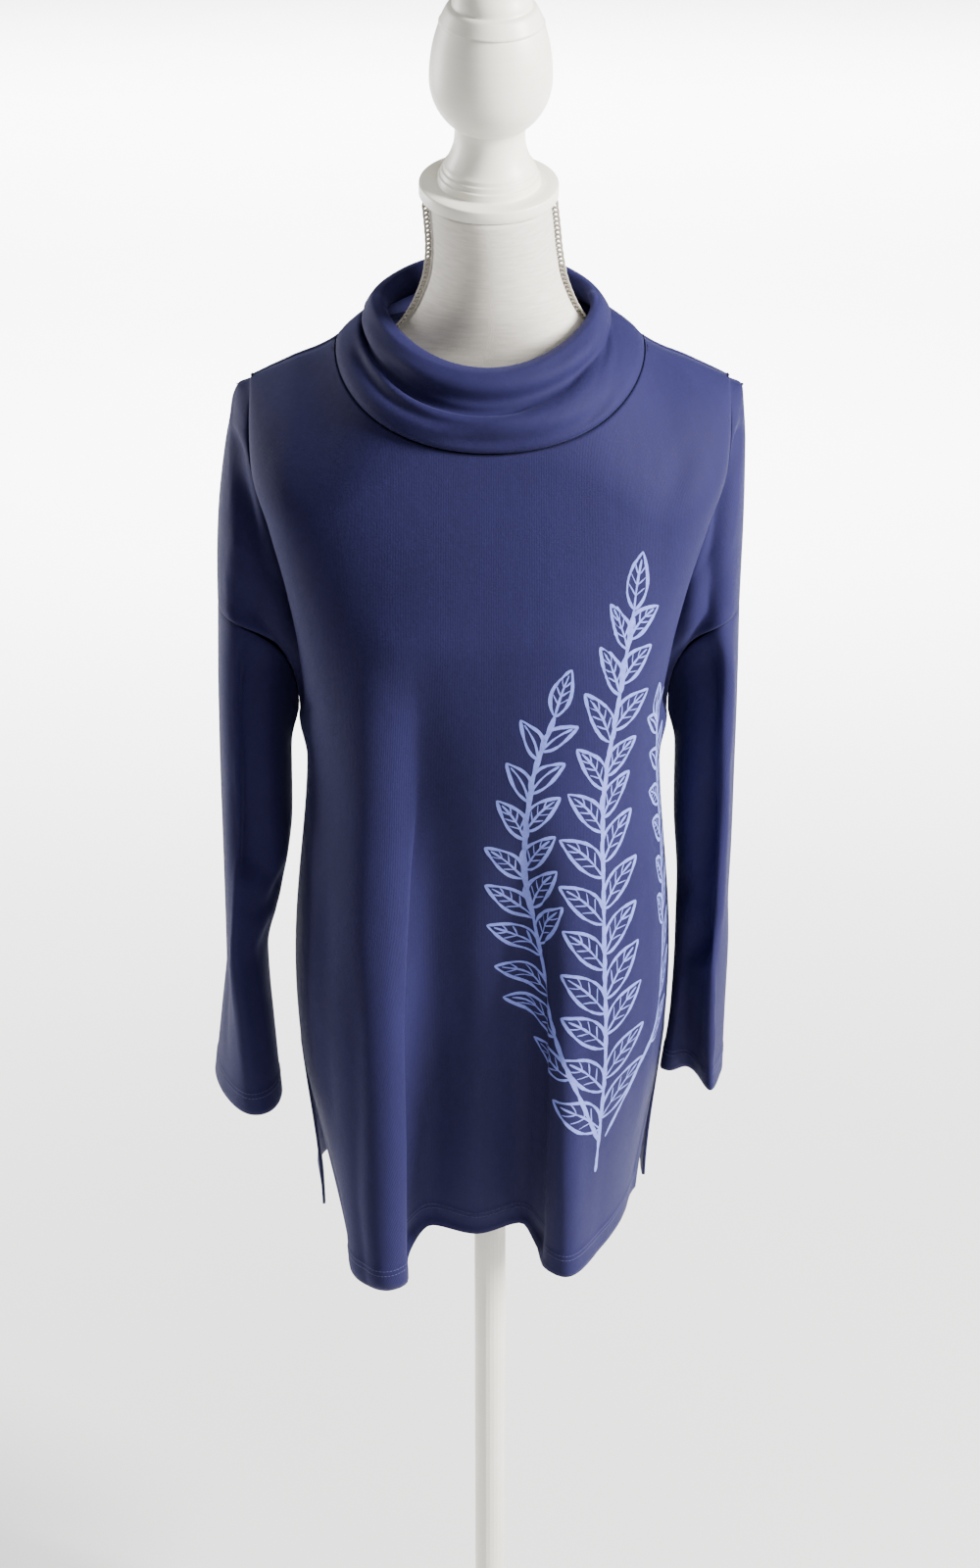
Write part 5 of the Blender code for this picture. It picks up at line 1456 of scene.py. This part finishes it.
def knit(name, colour=(0.0092, 0.0082, 0.0430), light=(0.018, 0.0175, 0.080)):
    """Fine jersey: upright wales of small loops, a soft nap with a periwinkle sheen, and painted shade
    darkening the seams.
    """
    n = Nodes(name)
    uv, u, v = n.flat()
    wale = n.waves(u, WALE)
    # each wale is a column of slanting loops, so the courses lean left and right by turns
    lean = n.math("ABSOLUTE", n.waves(u, 2 * WALE))
    course = n.waves(n.math("ADD", v, n.math("MULTIPLY", lean, LOOP_LEAN)), COURSE)
    loops = n.math("ADD", n.math("MULTIPLY", wale, 0.6), n.math("MULTIPLY", course, 0.4))
    fuzz = n.noise(1500.0, 4.0, 0.6)
    grain = n.noise(520.0, 3.0, 0.6)
    cloud = n.noise(16.0, 3.0, 0.5)
    streak = n.noise(1.0, 3.0, 0.55, n.stretched(uv, (60.0, 7.0, 1.0)))
    tone = n.math("ADD", n.math("MULTIPLY", cloud, 0.50), n.math("MULTIPLY", streak, 0.50))
    base = n.mix(n.ramp(tone, 0.32, 0.68), scaled(colour, 0.90), scaled(colour, 1.12))
    base = n.mix(n.ramp(grain, 0.42, 0.74, 0.0, 0.34), base, light)
    base = n.mix(n.ramp(fuzz, 0.60, 0.78, 0.0, 0.30), base, scaled(light, 1.7))
    base = n.mix(n.ramp(loops, -1.0, 1.0, 0.16, 0.0), base, scaled(colour, 0.5))
    # painted shade: near the seams the colour goes almost black, deepening the shade in their grooves
    base = n.mix(n.ramp(n.layer("seam"), 0.45, 0.98, 0.0, 0.70), base, (0.003, 0.003, 0.010))
    relief = n.bump(n.noise(70.0, 3.0, 0.5), 0.25, 0.0012)
    relief = n.bump(n.layer("turned"), 0.35, 0.0008, relief)
    relief = n.bump(grain, 0.30, 0.0006, relief)
    relief = n.bump(loops, 0.22, 0.00030, relief)
    return n.finish({
        "Base Color": base, "Roughness": n.ramp(grain, 0.3, 0.8, 0.70, 0.88), "Specular IOR Level": 0.14,
        "Sheen Weight": 0.07, "Sheen Roughness": 0.42, "Sheen Tint": (0.40, 0.43, 1.0), "Normal": relief,
    })


def ink(name):
    """Printed ink: matt, with the knit's grain showing through and thin places."""
    n = Nodes(name)
    patch = n.noise(240.0, 3.0, 0.6)
    fine = n.noise(1300.0, 3.0, 0.6)
    base = n.mix(n.ramp(patch, 0.35, 0.70), (0.150, 0.185, 0.560), (0.110, 0.137, 0.450))
    base = n.mix(n.ramp(fine, 0.56, 0.80, 0.0, 0.55), base, (0.030, 0.034, 0.130))
    return n.finish({
        "Base Color": base, "Roughness": n.ramp(patch, 0.3, 0.8, 0.62, 0.80), "Specular IOR Level": 0.30,
        "Sheen Weight": 0.15, "Normal": n.bump(fine, 0.30, 0.0004),
    })


def thread(name, colour):
    n = Nodes(name)
    ply = n.noise(2600.0, 2.0, 0.5)
    base = n.mix(n.ramp(ply, 0.35, 0.7), colour, scaled(colour, 1.6))
    return n.finish({"Base Color": base, "Roughness": 0.55, "Normal": n.bump(ply, 0.4, 0.0002)})


def linen(name, colour=(0.730, 0.690, 0.630), dark=(0.530, 0.490, 0.425)):
    """Plain woven cover: crossing yarns of uneven thickness, darker in the hollows between the yarns."""
    n = Nodes(name)
    uv, u, v = n.flat()
    weave = n.math("MULTIPLY", n.waves(u, YARN_PITCH), n.waves(v, YARN_PITCH))
    slub = n.noise(1.0, 3.0, 0.6, n.stretched(uv, (30.0, 420.0, 1.0)))
    stain = n.noise(13.0, 4.0, 0.55)
    base = n.mix(n.ramp(slub, 0.35, 0.72, 0.0, 0.75), colour, dark)
    base = n.mix(n.ramp(stain, 0.40, 0.75, 0.0, 0.25), base, (0.62, 0.575, 0.49))
    base = n.mix(n.ramp(weave, -1.0, 0.2, 0.34, 0.0), base, (0.38, 0.345, 0.29))
    return n.finish({
        "Base Color": base, "Roughness": n.ramp(slub, 0.3, 0.8, 0.78, 0.94), "Sheen Weight": 0.07,
        "Normal": n.bump(weave, 0.35, 0.0003, n.bump(slub, 0.35, 0.0006)),
    })


def gimp(name):
    n = Nodes(name)
    ply = n.noise(1800.0, 3.0, 0.6)
    age = n.noise(60.0, 3.0, 0.5)
    base = n.mix(n.ramp(ply, 0.3, 0.75), (0.34, 0.31, 0.26), (0.56, 0.53, 0.47))
    base = n.mix(n.ramp(age, 0.4, 0.8, 0.0, 0.35), base, (0.26, 0.23, 0.18))
    return n.finish({"Base Color": base, "Roughness": 0.72, "Normal": n.bump(ply, 0.5, 0.0003)})


def paint(name, colour, worn):
    """Brushed cream paint over turned wood: faint rings, brush marks, rubbed and yellowed in places."""
    n = Nodes(name)
    brush = n.noise(1.0, 4.0, 0.6, n.stretched(n.place, (9.0, 9.0, 260.0)))
    cloud = n.noise(22.0, 4.0, 0.55)
    speck = n.noise(420.0, 3.0, 0.7)
    base = n.mix(n.ramp(cloud, 0.35, 0.75, 0.0, 0.55), colour, worn)
    base = n.mix(n.ramp(brush, 0.45, 0.80, 0.0, 0.18), base, scaled(worn, 0.82))
    base = n.mix(n.ramp(speck, 0.68, 0.80, 0.0, 0.30), base, scaled(worn, 0.62))
    return n.finish({
        "Base Color": base, "Roughness": n.ramp(cloud, 0.3, 0.8, 0.34, 0.56),
        "Coat Weight": 0.12, "Coat Roughness": 0.35,
        "Normal": n.bump(brush, 0.18, 0.0004, n.bump(cloud, 0.15, 0.0012)),
    })


def floor_finish(name):
    n = Nodes(name)
    base = n.mix(n.ramp(n.noise(1.6, 3.0, 0.5), 0.3, 0.7), (0.86, 0.86, 0.86), (0.89, 0.89, 0.89))
    return n.finish({"Base Color": base, "Roughness": 0.9, "Specular IOR Level": 0.1})


# ---- camera, light, floor ----
CAMERA_LENS = 60.75
CAMERA_AWAY = 2.0214
CAMERA_ABOVE_HEM = 1.2916
CAMERA_DOWN = 23.64      # degrees below level
WORLD_STRENGTH = 0.07
WHITE = (1.0, 1.0, 1.0)
# name, place, aim, power, width, height, colour
LIGHTS = (
    ("key", (1.95, -0.72, 2.20), (0.0, 0.0, 1.15), 292.0, 0.5, 1.1, (1.0, 0.985, 0.96)),
    ("front", (0.9, -2.6, 2.9), (0.0, 0.0, 1.1), 52.0, 1.6, 1.2, WHITE),
    ("edge", (-1.9, 0.9, 1.6), (0.0, 0.0, 1.05), 78.0, 0.6, 1.6, WHITE),
    ("backdrop", (0.0, 3.6, 3.2), (0.0, 6.5, 0.0), 1850.0, 6.0, 2.5, WHITE),
    ("far backdrop", (0.0, 9.0, 5.0), (0.0, 13.0, 0.0), 5600.0, 12.0, 4.0, WHITE),
)
FLOOR_HALF = 30


def build_camera():
    data = bpy.data.cameras.new("view")
    data.lens = CAMERA_LENS
    data.sensor_width = 36.0
    data.sensor_fit = "AUTO"
    data.clip_end = 100.0
    camera = put("view", data)
    camera.location = (0.0, -CAMERA_AWAY, HEM_Z + CAMERA_ABOVE_HEM)
    camera.rotation_euler = (math.radians(90.0 - CAMERA_DOWN), 0.0, 0.0)
    bpy.context.scene.camera = camera


def area_light(name, place, aim, power, width, height, colour):
    data = bpy.data.lights.new(name, "AREA")
    data.shape = "RECTANGLE"
    data.size = width
    data.size_y = height
    data.energy = power
    data.color = colour
    lamp = put(name, data)
    lamp.location = place
    lamp.rotation_euler = (Vector(aim) - Vector(place)).to_track_quat("-Z", "Y").to_euler()


def build_stage():
    world = bpy.data.worlds.new("studio")
    bpy.context.scene.world = world
    world.use_nodes = True
    back = world.node_tree.nodes["Background"]
    back.inputs["Color"].default_value = (*WHITE, 1.0)
    back.inputs["Strength"].default_value = WORLD_STRENGTH
    for light in LIGHTS:
        area_light(*light)
    far = FLOOR_HALF
    corners = [(-far, -far, 0), (far, -far, 0), (far, far, 0), (-far, far, 0)]
    floor = new_piece("floor", corners, [(0, 1, 2, 3)], floor_finish("pale floor"))


# ---- building it all ----
def hem_stitches(panels, sleeves, finish):
    """Two rows of stitches round the hem, and round each cuff."""
    lines = []
    for grid in panels:
        for distance in HEM_STITCH_ROWS:
            line = resample(level_line(grid, "v", distance)[2:-2], STITCH_PITCH)
            lines.append((line, outward(line, np.zeros(3))))
    for grid in sleeves:
        centre = grid["points"][-1].mean(0)
        for distance in CUFF_STITCH_ROWS:
            line = level_line(grid, "cuff", distance)
            line = resample(np.concatenate([line, line[:1]]), STITCH_PITCH)
            lines.append((line, outward(line, centre)))
    return stitch_mesh("hem_stitches", lines, finish)


def main():
    build_camera()
    build_stage()
    navy = knit("navy jersey")
    seam_thread = thread("navy thread", (0.030, 0.031, 0.095))
    front, front_grid = build_panel("front", navy)
    back, back_grid = build_panel("back", navy)
    left, left_grid = build_sleeve("sleeve_left_cloth", -1, navy)
    right, right_grid = build_sleeve("sleeve_right_cloth", 1, navy)
    collar, collar_grid = build_collar(navy)
    printed = build_print(front_grid, ink("periwinkle ink"))
    stitches = hem_stitches((front_grid, back_grid), (left_grid, right_grid), seam_thread)
    allowance = build_allowance("seam_allowance", (front_grid, back_grid), collar_grid, navy)
    cover = build_form(linen("linen cover"))
    trim = gimp("cream gimp")
    trims = [build_trim("gimp_left", -84.0, -76.0, trim), build_trim("gimp_right", 88.0, 86.0, trim)]
    cap = build_cap(paint("painted cap", (0.800, 0.780, 0.700), (0.740, 0.700, 0.590)))
    stand = paint("painted stand", (0.780, 0.760, 0.690), (0.720, 0.680, 0.580))
    for node in ("form_pole", "form_foot"):
        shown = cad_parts[node]
        shown.data.materials.clear()
        shown.data.materials.append(stand)
    for piece, node, slot in (
        (front, "front", "knit_front"), (back, "back", "knit_back"),
        (left, "sleeve_left", "knit_sleeve_left"), (right, "sleeve_right", "knit_sleeve_right"),
        (collar, "collar", "knit_collar"),
        (cover, "form_torso", "linen_cover"), (cap, "form_cap", "cap_paint"),
    ):
        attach(piece, "root")
        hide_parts(node)
    for piece, slot in (
        (printed, "knit_front"), (stitches, "knit_front"), (allowance, "knit_back"),
        (trims[0], "linen_cover"), (trims[1], "linen_cover"),
    ):
        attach(piece, "root")


main()
